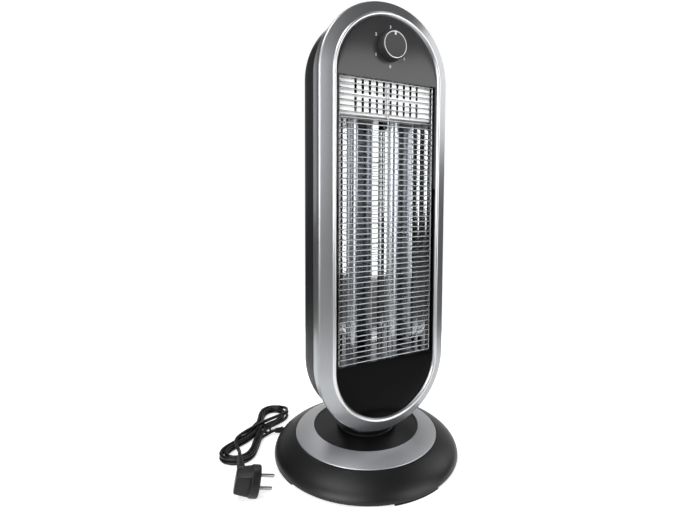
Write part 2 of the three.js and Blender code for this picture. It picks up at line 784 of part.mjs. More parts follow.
function makeRearShell() {
  const rim = fit - jointDepth;
  const outer = [[jointRadius, rim], ...shellCurve(0)];
  const inner = [[jointRadius - headWall, rim], ...shellCurve(-headWall)];
  const block = oblongBlock(outer);
  const hollow = oblongBlock([[jointRadius - headWall, rim - overrun], ...inner.slice(1)]);
  const bosses = headScrewPlaces.map(([x, z]) =>
    bar(headScrewHead + fit + headBossWall, rim, backDepth, screwSteps, x, z).intersect(block),
  );
  const pad = post(neckPadRadius, headLift, shellFloor, turnedSteps).intersect(block);
  const neckHole = post(journalRadius + fit, headLift, shellFloor + overrun, turnedSteps);
  const seat = shellDepthAt(headScrewCircle) - headScrewSink;
  const bores = headScrewPlaces.flatMap(([x, z]) => [
    bar(headScrewRadius + fit, rim - overrun, seat + overrun, screwSteps, x, z),
    bar(headScrewHead + fit, seat, backDepth, screwSteps, x, z),
  ]);
  const lowest = lowerCentre + rearVentInset;
  const highest = upperCentre - rearVentInset - (rearVents - 1) * rearVentPitch;
  const slots = [lowest, highest].flatMap((start) =>
    Array.from({ length: rearVents }, (_, i) => {
      const z = start + i * rearVentPitch;
      return box(
        [-rearVentLength / 2, backDepth - headWall - overrun, z - rearVentHeight / 2],
        [rearVentLength / 2, backDepth + overrun, z + rearVentHeight / 2],
      );
    }),
  );
  const shell = joined([block.subtract(hollow), ...bosses, pad]);
  place(head, "rear_shell", cut(shell, [neckHole, ...bores, ...slots]), blackPlastic);

  headScrewPlaces.forEach(([x, z], i) => {
    const cap = bar(headScrewHead, seat + fit, seat + fit + headScrewHeadHeight, screwSteps, x, z);
    const shank = bar(headScrewRadius, -jointDepth - headScrewReach, seat + fit + weld, screwSteps, x, z);
    place(head, "shell_screw_" + (i + 1), cap.add(shank), zincSteel);
  });
}

// Gloss panel with the opening, a flange behind the frame's lip, and walls beside the opening.
function makeFrontPanel() {
  const edge = panelRadius - fit;
  const face = oblongBlock([[edge, -panelDepth], [edge, -panelBack]]);
  const flange = oblongBlock([
    [panelRadius + flangeWidth, -flangeFront],
    [panelRadius + flangeWidth, -flangeBack],
  ]);
  const opening = box(
    [-openingHalfWidth, -panelDepth - overrun, openingBottom],
    [openingHalfWidth, overrun - flangeBack, openingTop],
  );
  const walls = [-1, 1].map((side) =>
    sideBox(
      side,
      [openingHalfWidth, openingHalfWidth + recessWall],
      [-panelBack, -recessBack],
      [openingBottom, openingTop],
    ),
  );
  const spindleHole = bar(
    spindleRadius + running,
    -panelDepth - overrun,
    overrun - flangeBack,
    smallSteps,
    0,
    dialHeight,
  );
  const body = cut(joined([face, flange]), [opening, spindleHole]);
  place(head, "front_panel", joined([body, ...walls]), glossBlack);
}

// One level wire of the guard: square, on edge, with its ends turned back.
function guardRod(reach, z) {
  const half = guardWire / 2;
  const path = [
    [-reach, guardReturn - guardDepth],
    [-reach, -guardDepth],
    [reach, -guardDepth],
    [reach, guardReturn - guardDepth],
  ];
  const corner = Math.SQRT2 * half;
  const sides = [
    [half, 0],
    [corner, -corner],
    [-corner, -corner],
    [-half, 0],
  ];
  const rings = path.map(([x, y], i) => {
    const [sideX, sideY] = sides[i].map((value) => value / (i === 1 || i === 2 ? Math.SQRT2 : 1));
    return [
      [x + sideX, y + sideY, z],
      [x, y, z + half],
      [x - sideX, y - sideY, z],
      [x, y, z - half],
    ];
  });
  return loft(rings, false);
}

function makeGuard() {
  const half = openingHalfWidth - fit;
  const first = (openingBottom + openingTop - (guardWires - 1) * guardPitch) / 2;
  const last = first + (guardWires - 1) * guardPitch;
  const middle = guardWire - weld - guardDepth;
  const edge = guardWire / 2;
  const uprights = [guardUprightInset - half, 0, half - guardUprightInset].map((x) =>
    loft(
      [first - guardWire, last + guardWire].map((z) => [
        [x + edge, middle, z],
        [x, middle + edge, z],
        [x - edge, middle, z],
        [x, middle - edge, z],
      ]),
      false,
    ),
  );
  const rods = Array.from({ length: guardWires }, (_, i) =>
    guardRod(half - guardWire / 2, first + i * guardPitch),
  );
  place(head, "wire_guard", joined([...uprights, ...rods]), chromeWire);
}

// The bright slotted plate, with sides that turn back, a roof, and a tab behind the panel.
function makeVentPlate() {
  const back = -reflectorFaceDepth - fit;
  const bottom = upperCentre - ventPlateBottomDrop;
  const top = openingTop + ventPlateTuck;
  const outline = [
    [-ventPlateHalf, back],
    [-ventPlateHalf, -ventPlateDepth],
    [ventPlateHalf, -ventPlateDepth],
    [ventPlateHalf, back],
  ];
  const skin = standing(folded(outline, sheet), bottom, top);
  const inner = ventPlateHalf - sheet / 2;
  const roof = box([-inner, sheet / 2 - ventPlateDepth, top - sheet], [inner, back, top]);
  const tab = box(
    [-inner, fit - flangeBack, openingTop + fit],
    [inner, sheet / 2 - ventPlateDepth, top],
  );
  const slots = [];
  for (let row = 0; row < ventRows; row++) {
    const start = bottom + ventSlotRise + row * (ventSlotHeight + ventRowGap);
    for (let i = 0; i < ventSlots; i++) {
      const x = (i - (ventSlots - 1) / 2) * ventSlotPitch;
      slots.push(
        box(
          [x - ventSlotWidth / 2, -ventPlateDepth - overrun, start],
          [x + ventSlotWidth / 2, sheet + overrun - ventPlateDepth, start + ventSlotHeight],
        ),
      );
    }
  }
  place(head, "vent_plate", cut(joined([skin, roof, tab]), slots), brightSheet);
}

// Shares of a trough's width and depth, from the ridge to the outer strip.
const troughShares = [
  [0, 0],
  [0.16, 0.6],
  [0.32, 0.88],
  [0.5, 1],
  [0.68, 0.88],
  [0.84, 0.6],
  [1, 0],
];

function makeReflector() {
  const width = reflectorHalf - reflectorFlange - reflectorRidge;
  const trough = troughShares.map(([across, deep]) => [
    reflectorRidge + width * across,
    reflectorDepth * deep - reflectorFaceDepth,
  ]);
  const lipEnd = -reflectorFaceDepth - reflectorLip;
  const right = [...trough, [reflectorHalf, -reflectorFaceDepth], [reflectorHalf, lipEnd]];
  const left = right.map(([x, y]) => [-x, y]).reverse();
  place(head, "reflector", standing(folded([...left, ...right], sheet), openingBottom, cavityTop), brightSheet);
}

// Hat-shaped steel shield behind the reflector, held between the sides of the front frame.
function makeHeatShield() {
  const inner = reflectorHalf + sheet + fit;
  const edge = jointRadius - headWall - fit;
  const front = -reflectorFaceDepth - reflectorLip;
  const back = reflectorBack + shieldGap;
  const outline = [
    [-edge, front],
    [-inner, front],
    [-inner, back],
    [inner, back],
    [inner, front],
    [edge, front],
  ];
  place(head, "heat_shield", standing(folded(outline, sheet), openingBottom, cavityTop), zincSteel);
}

// Level plates that close the troughs and hold the tubes' end caps.
function makeEndPlates() {
  const holes = (radius, bottom, top) =>
    [-1, 1].map((side) => post(radius + fit, bottom, top, tubeSteps, side * tubeOffset, -tubeDepth));
  const back = reflectorBack + shieldGap - 2 * fit;

  const shelfTop = openingBottom - fit;
  const shelfHalf = openingHalfWidth - fit;
  const shelf = box([-shelfHalf, fit - flangeBack, shelfTop - sheet], [shelfHalf, back, shelfTop]);
  const tubeHoles = holes(tubeRadius, shelfTop - sheet - overrun, shelfTop + overrun);
  place(head, "lower_end_plate", cut(shelf, tubeHoles), brightSheet);

  const roofBottom = cavityTop + fit;
  const roofTop = roofBottom + sheet;
  const roofHalf = ventPlateHalf - sheet - fit;
  const roof = box([-roofHalf, sheet + fit - ventPlateDepth, roofBottom], [roofHalf, back, roofTop]);
  const capHoles = holes(capRadius, roofBottom - overrun, roofTop + overrun);
  place(head, "upper_end_plate", cut(roof, capHoles), brightSheet);

  const seat = roofTop + fit;
  const sensor = post(cutoutRadius, seat, seat + cutoutHeight, tubeSteps, 0, -tubeDepth);
  const tab = box(
    [-cutoutTabHalf, -tubeDepth - cutoutTabHalfDepth, seat],
    [cutoutTabHalf, cutoutTabHalfDepth - tubeDepth, seat + sheet],
  );
  place(head, "thermal_cutout", sensor.add(tab), zincSteel);
}

// A carbon tube: quartz, a ceramic cap at each end, and the twisted ribbon inside.
function makeTube(number, side) {
  const x = side * tubeOffset;
  const lowerCapTop = openingBottom - fit - sheet - fit;
  const lowerCapBottom = lowerCapTop - capHeight;
  const upperCapTop = cavityTop + upperCapRise;
  const upperCapBottom = upperCapTop - upperCapHeight;
  const bottom = lowerCapBottom + capFloor + fit;
  const top = upperCapTop - capFloor - fit;
  const at = [tubeSteps, x, -tubeDepth];

  const glass = ring(tubeRadius - tubeWall, tubeRadius, bottom, top, tubeSteps);
  place(head, "quartz_tube_" + number, solid(glass.translate(x, -tubeDepth, 0)), quartz);

  const lowerCup = post(capRadius, lowerCapBottom, lowerCapTop, ...at);
  const lowerBore = post(tubeRadius + fit, lowerCapBottom + capFloor, lowerCapTop + overrun, ...at);
  place(head, "lower_tube_cap_" + number, lowerCup.subtract(lowerBore), ceramic);
  const upperCup = post(capRadius, upperCapBottom, upperCapTop, ...at);
  const upperBore = post(tubeRadius + fit, upperCapBottom - overrun, upperCapTop - capFloor, ...at);
  place(head, "upper_tube_cap_" + number, upperCup.subtract(upperBore), ceramic);

  const steps = 4 * filamentTwists;
  const corners = [[1, 1], [-1, 1], [-1, -1], [1, -1]];
  const rings = Array.from({ length: steps + 1 }, (_, i) => {
    const angle = (i / steps) * filamentTwists * (turn / 2);
    return corners.map(([wide, thin]) => {
      const across = wide * filamentHalfWidth;
      const deep = thin * filamentHalfThickness;
      return [
        x + across * Math.cos(angle) - deep * Math.sin(angle),
        across * Math.sin(angle) + deep * Math.cos(angle) - tubeDepth,
        bottom + ((top - bottom) * i) / steps,
      ];
    });
  });
  place(head, "carbon_filament_" + number, loft(rings, false), carbon);
}

// Dial: the knob turns a spindle in the rotary switch behind the panel.
function makeDial() {
  const switchFront = fit - flangeBack;
  const boreBack = switchFront + dialSwitchDepth / 2;
  const at = [smallSteps, 0, dialHeight];
  const body = box(
    [-dialSwitchHalf, switchFront, dialHeight - dialSwitchHalf],
    [dialSwitchHalf, switchFront + dialSwitchDepth, dialHeight + dialSwitchHalf],
  );
  const bore = bar(spindleRadius + fit, switchFront - overrun, boreBack, ...at);
  place(head, "rotary_switch", body.subtract(bore), blackPlastic);

  const back = -panelDepth - running;
  const front = back - knobHeight;
  const ringOuter = knobFaceRadius - knobRingInset;
  const ringInner = ringOuter - knobRingWidth;
  const hub = spindleRadius + fit + knobHubWall;
  const socket = spindleRadius + fit;
  const profile = [
    [socket, back],
    [hub, back],
    [hub, front + 2 * knobWall],
    [knobFaceRadius - knobWall, front + 2 * knobWall],
    [knobRadius - knobWall, back],
    [knobRadius, back],
    [knobFaceRadius + knobEdge / 3, front + knobEdge],
    [knobFaceRadius - knobEdge / 3, front],
    [ringOuter + fit, front],
    [ringOuter + fit, front + knobRingDepth],
    [ringInner - fit, front + knobRingDepth],
    [ringInner - fit, front],
    [0, front],
    [0, front + knobWall],
    [socket, front + knobWall],
  ];
  const aboutDial = (points) => solid(turned(points, turnedSteps).rotateX(-turn / 4).translate(0, 0, dialHeight));
  place(dial, "knob", aboutDial(profile), blackPlastic);
  const ringBack = front + knobRingDepth - fit;
  const trim = [
    [ringInner, front - fit],
    [ringOuter, front - fit],
    [ringOuter, ringBack],
    [ringInner, ringBack],
  ];
  place(dial, "knob_ring", aboutDial(trim), chromeWire);
  const spindle = bar(spindleRadius, front + knobWall + fit, boreBack - fit, ...at);
  place(dial, "knob_spindle", spindle, zincSteel);
}

// Route of the lead inside the base, from the outlet to the neck: shares of the base's radius,
// of a turn from +X, and of the deck's height.
const innerRouteShares = [
  [0.814, 0.3661, 0.247],
  [0.718, 0.3683, 0.342],
  [0.601, 0.371, 0.471],
  [0.485, 0.375, 0.493],
  [0.359, 0.3772, 0.466],
  [0.217, 0.3786, 0.397],
  [0.086, 0.3844, 0.438],
  [0.015, 0.375, 0.712],
  [0, 0, 1.04],
  [0, 0, 1.92],
];

// Lead inside the base, from the boot's tip to the neck, and the clamp that holds it.
function makeInnerLead() {
  const inside = innerRouteShares.map(([out, round, up]) => {
    const [x, y] = onCircle(out * baseRadius, round);
    return new THREE.Vector3(x, y, up * deckTop);
  });
  const route = [
    outletPoint(bootLength),
    outletPoint(0),
    outletPoint(-bootLength),
    outletPoint(-bootLength - cordRadius),
    ...inside,
  ];
  const path = new THREE.CatmullRomCurve3(route);
  const leadSteps = 26;
  place(base, "inner_lead", cord(path, cordRadius, leadSteps), cordCover);

  const [clampX, clampY, leadHeight] = inside[1].toArray();
  const clampTop = leadHeight + cordRadius + clampRoof;
  const saddle = post(clampRadius, plateSeat, clampTop, smallSteps, clampX, clampY);
  place(base, "cord_clamp", saddle.subtract(cord(path, cordRadius + fit, leadSteps)), nylon);
}

// Outlet: an inner flange, a neck through the skirt's notch, a collar against the skirt, a boot.
function makeOutlet() {
  const bore = cordRadius + fit;
  const flangeBack = -outletDepth - outletFlangeThickness;
  const neck = [
    [bore, flangeBack],
    [bootRadius, flangeBack],
    [bootRadius, -outletDepth],
    [outletNeckRadius, -outletDepth],
    [outletNeckRadius, outletFlangeThickness],
    [bore, outletFlangeThickness],
  ];
  const boot = [
    [bore, -outletDepth / 2],
    [bootRadius, -outletDepth / 2],
    [bootRadius, outletFlangeThickness],
    [bootTipRadius, bootLength],
    [bore, bootLength],
  ];
  const skirtBlock = solid(turned([
    [0, 0],
    [baseRadius + fit, 0],
    ...skirt(fit),
    [0, ringOuterHeight],
  ]));
  place(base, "cord_outlet", atOutlet(boot).subtract(skirtBlock).add(atOutlet(neck)), blackRubber);
}

// Hank of the spare lead: loops in two layers, drawn in at the waist.
const ease = (share) => {
  const inside = Math.min(Math.max(share, 0), 1);
  return inside ** 3 * (10 - 15 * inside + 6 * inside ** 2);
};

// Places that are shares of a turn after the waist, between which the loops step across or climb.
const hankChangeShares = [0.822, 1.043];
const hankReachShares = [0.868, 1.089];
const hankLeaveShares = [0.72, 0.9];
const hankStraightShare = 0.33; // of the reach squared, where the bow crosses the hank's axis
const during = ([from, to], turns) => (turns - from) / (to - from);
const onHankTurn = (shares, number) => shares.map((share) => share + number);
const steppedIn = (shares, turns) =>
  ease(during(shares, turns)) - ease(during(onHankTurn(shares, 2), turns));
const between = (outerSize, innerSize, share) => outerSize + (innerSize - outerSize) * share;
const pinchShare = (sine) => Math.abs(sine) ** 2.9; // of the pinch, all of it at the waist
const bowAt = (along) => hankBow * (hankStraightShare - (along / hankReach) ** 2);
const tieLiftAt = (along) => hankTieLift * Math.exp(-(((along + hankTiePlace) / hankTieReach) ** 2));

// A point of the hank in its own frame: along it, across it, and up.
function hankPlace(turns) {
  const climb = during(onHankTurn(hankChangeShares, 1), turns);
  const inward = climb > 0 && climb < 1 ? (4 * climb * (1 - climb)) ** 3 : 0;
  const inner = steppedIn(hankChangeShares, turns) + hankInwardShare * inward;
  const layer = ease(climb) + ease(during(onHankTurn(hankLeaveShares, 3), turns));
  const angle = turn / 4 - turn * turns;
  const sine = Math.sin(angle);
  const reach = between(hankReach, hankInnerReach, steppedIn(hankReachShares, turns));
  const along = reach * Math.cos(angle);
  const pinch = between(hankPinch, hankInnerPinch, inner) * pinchShare(sine);
  const across = sine * (between(hankFlare, hankInnerFlare, inner) - pinch) + bowAt(along);
  return new THREE.Vector3(along, across, hankLowest + hankLayerStep * layer + tieLiftAt(along));
}

// From the hank's own frame to the heater's.
function hankToFloor({ x: along, y: across, z }) {
  const [cosine, sine] = onCircle(1, hankHeadingShare);
  return new THREE.Vector3(
    hankX + along * cosine - across * sine,
    hankY + along * sine + across * cosine,
    z,
  );
}

// The hank's middle line, with one diameter of straight cord at each end.
function hankLine(stepsPerTurn) {
  const steps = Math.round((hankEndTurns - hankStartTurns) * stepsPerTurn);
  const points = Array.from({ length: steps + 1 }, (_, i) =>
    hankToFloor(hankPlace(hankStartTurns + ((hankEndTurns - hankStartTurns) * i) / steps)),
  );
  const outward = (end, before) => end.clone().sub(before).setLength(2 * cordRadius).add(end);
  const first = outward(points[0], points[1]);
  const last = outward(points.at(-1), points.at(-2));
  return [first, ...points, last];
}

function printHankGap() {
  const points = hankLine(8 * hankStepsPerTurn);
  const travelled = [0];
  points.slice(1).forEach((point, i) => travelled.push(travelled[i] + point.distanceTo(points[i])));
  let least = Infinity;
  for (let i = 0; i < points.length; i++) {
    for (let k = i + 1; k < points.length; k++) {
      if (travelled[k] - travelled[i] < 8 * cordRadius) continue;
      least = Math.min(least, points[i].distanceTo(points[k]));
    }
  }
  const gap = (least - 2 * cordRadius).toFixed(2);
  console.log("hank: " + Math.round(travelled.at(-1)) + " mm of cord, least gap to itself " + gap + " mm");
}

function makeHank() {
  const points = hankLine(hankStepsPerTurn);
  const up = new THREE.Vector3(0, 0, 1);
  const rings = points.map((point, i) => {
    const before = points[Math.max(i - 1, 0)];
    const after = points[Math.min(i + 1, points.length - 1)];
    const along = after.clone().sub(before).normalize();
    const side = along.clone().cross(up).normalize();
    const above = side.clone().cross(along);
    return Array.from({ length: 6 }, (_, k) => {
      const [across, rise] = onCircle(cordRadius, k / 6);
      return point.clone().addScaledVector(side, across).addScaledVector(above, rise).toArray();
    });
  });
  place(base, "cord_hank", loft(rings, false), cordCover);
  printHankGap();
}

// The tie goes round all the runs at the waist.
function makeTie() {
  const sine = Math.sqrt(1 - ((hankTiePlace + tieWidth / 2) / hankReach) ** 2);
  const outerRun = sine * (hankFlare - hankPinch * pinchShare(sine));
  const half = outerRun + cordRadius + 2 * fit;
  const inTop = hankLowest + hankTieLift + hankLayerStep + cordRadius + fit;
  const outer = half + tieThickness;
  const band = (reach, bottom, top) => {
    const round = reach / 10;
    const outline = new THREE.Shape();
    outline.moveTo(round - reach, bottom);
    outline.lineTo(reach - round, bottom);
    outline.lineTo(reach, bottom + round);
    outline.lineTo(reach, top - round);
    outline.lineTo(reach - round, top);
    outline.lineTo(round - reach, top);
    outline.lineTo(-reach, top - round);
    outline.lineTo(-reach, bottom + round);
    return outline;
  };
  const wrap = (reach, bottom, top, width) => {
    const shape = band(reach, bottom, top);
    const geometry = new THREE.ExtrudeGeometry(shape, { depth: width, bevelEnabled: false });
    geometry.translate(0, 0, -width / 2).rotateX(turn / 4).rotateZ(turn / 4);
    geometry.translate(-hankTiePlace, bowAt(-hankTiePlace), 0).rotateZ(hankHeadingShare * turn);
    return solid(geometry.translate(hankX, hankY, 0));
  };
  const body = wrap(outer, 0, inTop + tieThickness, tieWidth);
  const inside = wrap(half, tieThickness, inTop, tieWidth + 2 * overrun);
  place(base, "hank_tie", body.subtract(inside), blackRubber);
}

// The plug stands on the rim of its face with its pins pointing down a little. These are points of
// its own frame, from the middle of its face: along the pins, sideways, and up.
const plugHeight =
  plugRadius * Math.cos(plugTiltShare * turn) - plugEdge * Math.sin(plugTiltShare * turn);
const plugPoint = (along, across, up) =>
  new THREE.Vector3(along, across, up)
    .applyAxisAngle(new THREE.Vector3(0, 1, 0), plugTiltShare * turn)
    .applyAxisAngle(new THREE.Vector3(0, 0, 1), plugHeadingShare * turn)
    .add(new THREE.Vector3(plugX, plugY, plugHeight));
const plugReliefPoint = (distance) => {
  const [along, across] = onCircle(distance, plugReliefHeadingShare);
  return plugPoint(along - plugReliefBack, across + plugReliefSide, -plugReliefDrop);
};

// The free lead from the outlet to the hank, and the tail from the hank to the plug.
function makeFreeLead() {
  const line = hankLine(hankStepsPerTurn);
  const gapFrom = (end, next) => end.clone().sub(next).setLength(fit).add(end);
  const squareOff = (end, next) => end.clone().sub(next).setLength(cordRadius).add(end);
  const hankStart = gapFrom(line[0], line[1]);
  const lead = [
    outletPoint(bootLength + fit),
    outletPoint(bootLength + fit + cordRadius / 2, outletHeight - fit / 3),
    outletPoint(19.5, 4.6, 1.3),
    outletPoint(26.8, 3.4, 6),
    outletPoint(32.6, 2.8, 11.2),
    squareOff(hankStart, line[1]),
    hankStart,
  ];
  place(base, "cord_lead", cord(new THREE.CatmullRomCurve3(lead), cordRadius, 10), cordCover);

  const hankEnd = gapFrom(line.at(-1), line.at(-2));
  const overHank = [
    [-46, 20, 15.2],
    [-32, 13.8, 16.4],
    [-18, 7, 17.1],
    [-5, 0.8, 17],
    [7, -5.6, 16],
    [19, -11.2, 15],
    [31, -14.6, 14.5],
    [42, -14.2, 14.3],
    [53, -7.5, 14],
    [63, 1, 14.2],
    [71.5, 8.5, 15.3],
  ].map(([along, across, height]) => hankToFloor(new THREE.Vector3(along, across, height)));
  const tail = [
    hankEnd,
    squareOff(hankEnd, line.at(-2)),
    ...overHank,
    plugReliefPoint(plugReliefLength + fit + 3 * cordRadius),
    plugReliefPoint(plugReliefLength + fit),
  ];
  place(base, "cord_tail", cord(new THREE.CatmullRomCurve3(tail), cordRadius, 26), cordCover);
}

function makePlug() {
  const toFloor = (geometry) =>
    solid(
      geometry
        .rotateY(plugTiltShare * turn)
        .rotateZ(plugHeadingShare * turn)
        .translate(plugX, plugY, plugHeight),
    );
  const along = (profile, steps) => turned(profile, steps).rotateY(turn / 4);
  const disc = along(
    [
      [0, 0],
      [0, -plugDepth],
      [plugBackRadius - plugEdge, -plugDepth],
      [plugBackRadius, plugEdge - plugDepth],
      [plugRadius, -plugDepth / 3],
      [plugRadius, -plugEdge],
      [plugRadius - plugEdge, 0],
    ],
    turnedSteps,
  );
  const relief = along(
    [
      [0, 0],
      [plugReliefRadius, 0],
      [plugReliefRadius, plugReliefLength / 3],
      [plugReliefTipRadius, plugReliefLength],
      [0, plugReliefLength],
    ],
    tubeSteps,
  );
  relief
    .rotateZ(plugReliefHeadingShare * turn)
    .translate(-plugReliefBack, plugReliefSide, -plugReliefDrop);
  const pinHeights = [-1, 1].map((side) => (side * plugPinSpacing) / 2);
  const sockets = pinHeights.map((height) =>
    toFloor(along(
      [[0, -plugPinLength / 2], [plugPinRadius + fit, -plugPinLength / 2], [plugPinRadius + fit, overrun], [0, overrun]],
      smallSteps,
    ).translate(0, 0, height)),
  );
  place(base, "plug_body", cut(toFloor(disc).add(toFloor(relief)), sockets), blackRubber);

  pinHeights.forEach((height, i) => {
    const pin = along(
      [
        [0, fit - plugPinLength / 2],
        [plugPinRadius, fit - plugPinLength / 2],
        [plugPinRadius, plugPinLength - plugPinRadius / 2],
        [plugPinRadius / 2, plugPinLength],
        [0, plugPinLength],
      ],
      smallSteps,
    );
    place(base, "plug_pin_" + (i + 1), toFloor(pin.translate(0, 0, height)), chromeWire);
  });
}

makeBaseShell();
makeTrimRing();
makeBasePlate();
makeFeet();
makeTipSwitch();
makeSwingDrive();
makeNeck();
makeFrontFrame();
makeRearShell();
makeFrontPanel();
makeGuard();
makeVentPlate();
makeReflector();
makeHeatShield();
makeEndPlates();
makeTube(1, -1);
makeTube(2, 1);
makeDial();
makeInnerLead();
makeOutlet();
makeFreeLead();
makeHank();
makeTie();
makePlug();

export default heater;
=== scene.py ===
# %% [markdown]
# # An infrared heater, dressed around its CAD model
# The heater has a round weighted base and an upright head that swings on it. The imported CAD
# model gives every place and every size. This script adds what the eye looks for: smooth
# mouldings, satin paint, bright sheet metal, glass tubes and a lead that lies on the floor.
# The CAD meshes could be shown as they are, but their facets are coarse and their corners are
# sharp, so the pieces that are seen are drawn anew.

# %% Load the frame
import math

import bmesh
import bpy
from bmesh.types import BMEdge, BMFace, BMVert
from mathutils import Euler, Matrix, Vector


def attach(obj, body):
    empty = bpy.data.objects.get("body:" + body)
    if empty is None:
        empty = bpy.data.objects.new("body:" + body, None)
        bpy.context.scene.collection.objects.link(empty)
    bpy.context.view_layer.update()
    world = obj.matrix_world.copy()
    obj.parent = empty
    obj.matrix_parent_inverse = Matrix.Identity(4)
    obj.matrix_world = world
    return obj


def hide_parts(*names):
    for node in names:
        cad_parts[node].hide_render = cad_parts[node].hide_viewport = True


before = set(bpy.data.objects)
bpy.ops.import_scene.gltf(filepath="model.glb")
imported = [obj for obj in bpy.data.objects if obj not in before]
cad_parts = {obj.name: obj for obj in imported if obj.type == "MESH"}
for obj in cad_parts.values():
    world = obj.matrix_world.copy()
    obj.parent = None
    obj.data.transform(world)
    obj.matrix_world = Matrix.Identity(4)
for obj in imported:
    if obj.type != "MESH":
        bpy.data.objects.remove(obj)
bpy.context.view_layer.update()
mm = 0.001
turn = 2 * math.pi

# %% [markdown]
# ## The camera
# The photograph was taken a little to the left of the heater, from the height of its middle.
# A short lens with a small shift gives the same framing: the heater stands right of the
# centre, and its upright edges stay almost parallel. The camera could be turned further
# instead of shifted, but then the perspective would not be that of the photograph.

# %% Camera
photo_width = 677
focal_pixels = 444.7
principal_right, principal_above = 20.4, 33.5
sensor = 36
camera_place = (-0.3348, -0.5836, 0.3927)
look_down, look_right, roll = 3.39, 28.78, 0.005


def linked(name, data):
    """A new object in the scene that shows the data."""
    made = bpy.data.objects.new(name, data)
    bpy.context.scene.collection.objects.link(made)
    return made


camera_data = bpy.data.cameras.new("camera")
camera_data.sensor_width = sensor
camera_data.lens = focal_pixels * sensor / photo_width
camera_data.shift_x = -principal_right / photo_width
camera_data.shift_y = -principal_above / photo_width
camera_data.clip_start = 0.02
camera = linked("camera", camera_data)
camera.location = camera_place
aim = Euler((math.radians(90 - look_down), 0, -math.radians(look_right))).to_matrix()
camera.rotation_euler = (aim @ Matrix.Rotation(roll, 3, "Z")).to_euler()
bpy.context.scene.camera = camera
print("the lens is", round(camera_data.lens, 2), "mm")

# %% [markdown]
# ## Small tools for finishes
# Nodes could be added and linked one at a time, but a script of such lines is long and hard to
# follow. Here a material's maths reads like Python: `Value` wraps one output of a node, and
# each operator adds a Math node.

# %% Values
def maths(operation, swapped=False):
    """A method of Value that adds one Math node."""

    def method(value, *others):
        inputs = (*others, value) if swapped else (value, *others)
        return value.recipe.node("Math", {"operation": operation}, dict(enumerate(inputs)))

    return method


class Value:
    """A number that changes over a surface."""

    def __init__(self, recipe, socket):
        self.recipe = recipe
        self.socket = socket

    __add__ = __radd__ = maths("ADD")
    __mul__ = __rmul__ = maths("MULTIPLY")
    __sub__ = maths("SUBTRACT")
    __rsub__ = maths("SUBTRACT", swapped=True)
    __pow__ = maths("POWER")
    above = maths("GREATER_THAN")
    at_least = maths("MAXIMUM")
    at_most = maths("MINIMUM")

    def as_share(self):
        """The number, held between nought and one."""
        return self.at_least(0).at_most(1)


# %% [markdown]
# `Recipe` holds the nodes of one material. Its `node` method adds any node with its settings
# and inputs, and the other methods are the patterns that the heater's finishes share, such as
# noise and bumps. They could be spelled out in each material, but once is enough.

# %% Recipes
class Recipe:
    """The nodes of one material, or of the world."""

    def __init__(self, name, owner=None, shader="Principled BSDF", **sockets):
        self.material = owner or bpy.data.materials.new(name)
        self.material.use_nodes = True
        self.tree = self.material.node_tree
        self.shader = self.tree.nodes[shader]
        self.set(**sockets)

    def set(self, **sockets):
        for name, value in sockets.items():
            self.feed(self.shader.inputs[name.replace("_", " ")], value)

    def feed(self, socket, value):
        if isinstance(value, Value):
            self.tree.links.new(value.socket, socket)
        elif socket.type == "RGBA":
            socket.default_value = (*value, 1)
        else:
            socket.default_value = value

    def node(self, kind, settings=None, inputs=None, output=0):
        made = self.tree.nodes.new("ShaderNode" + kind)
        for name, value in (settings or {}).items():
            setattr(made, name, value)
        for key, value in (inputs or {}).items():
            self.feed(made.inputs[key], value)
        return Value(self, made.outputs[output])

    def split(self, coordinates):
        """Texture coordinates of one kind, as three numbers."""
        where = self.node("TexCoord", output=coordinates)
        return [self.node("SeparateXYZ", inputs={0: where}, output=k) for k in range(3)]

    def noise(self, scale, detail=2, stretch=(1, 1, 1), roughness=0.5):
        """Noise on object coordinates, with a scale in features per metre."""
        where = self.node("TexCoord", output="Object")
        put = self.node("Mapping", inputs={"Vector": where, "Scale": stretch})
        inputs = {"Vector": put, "Scale": scale, "Detail": detail, "Roughness": roughness}
        return self.node("TexNoise", inputs=inputs)

    def mix(self, share, first, second):
        """A colour between two colours."""
        settings = {"data_type": "RGBA", "clamp_factor": True}
        return self.node("Mix", settings, {0: share, 6: first, 7: second}, output=2)

    def bumped(self, height, depth, strength=1.0):
        """A Normal from a height that is 0 to 1, for relief of a real depth in metres."""
        inputs = {"Height": height, "Distance": depth, "Strength": strength}
        self.set(Normal=self.node("Bump", inputs=inputs))
        return self.material


def shade(color, share):
    return [min(part * share, 1) for part in color]


# %% [markdown]
# ## The finishes
# The heater has few finishes, and each one appears in several places: satin black mouldings,
# silver paint with fine metal flakes, bright rolled aluminium, chromed wire, glass and rubber.
# Each could have nodes of its own, but mouldings differ from each other only in colour, gloss
# and grain, and so do metals and paints. Three functions make the three families.

# %% Plastic, rubber and metal
def moulded(name, color, roughness, grain=2400, depth=0.00003, shine=0.4):
    """Moulded plastic: fine spark-eroded grain, and gloss that varies a little."""
    recipe = Recipe(name, Specular_IOR_Level=shine)
    cloud = recipe.noise(14, 3)
    recipe.set(
        Base_Color=recipe.mix(cloud, shade(color, 0.85), shade(color, 1.15)),
        Roughness=roughness - 0.05 + 0.1 * cloud,
    )
    return recipe.bumped(recipe.noise(grain, 2), depth)


def metal(name, color, roughness, stretch=(1, 1, 1), scale=900, depth=0.00002, spread=0.1):
    """Metal with rolling or polishing marks drawn out one way."""
    recipe = Recipe(name, Metallic=1.0)
    streaks = recipe.noise(scale, 3, stretch, 0.6)
    cloud = recipe.noise(25, 2)
    recipe.set(
        Base_Color=recipe.mix(streaks, shade(color, 0.88), shade(color, 1.08)),
        Roughness=roughness - spread / 2 + spread * (0.5 * streaks + 0.5 * cloud),
    )
    return recipe.bumped(streaks, depth, 0.6)


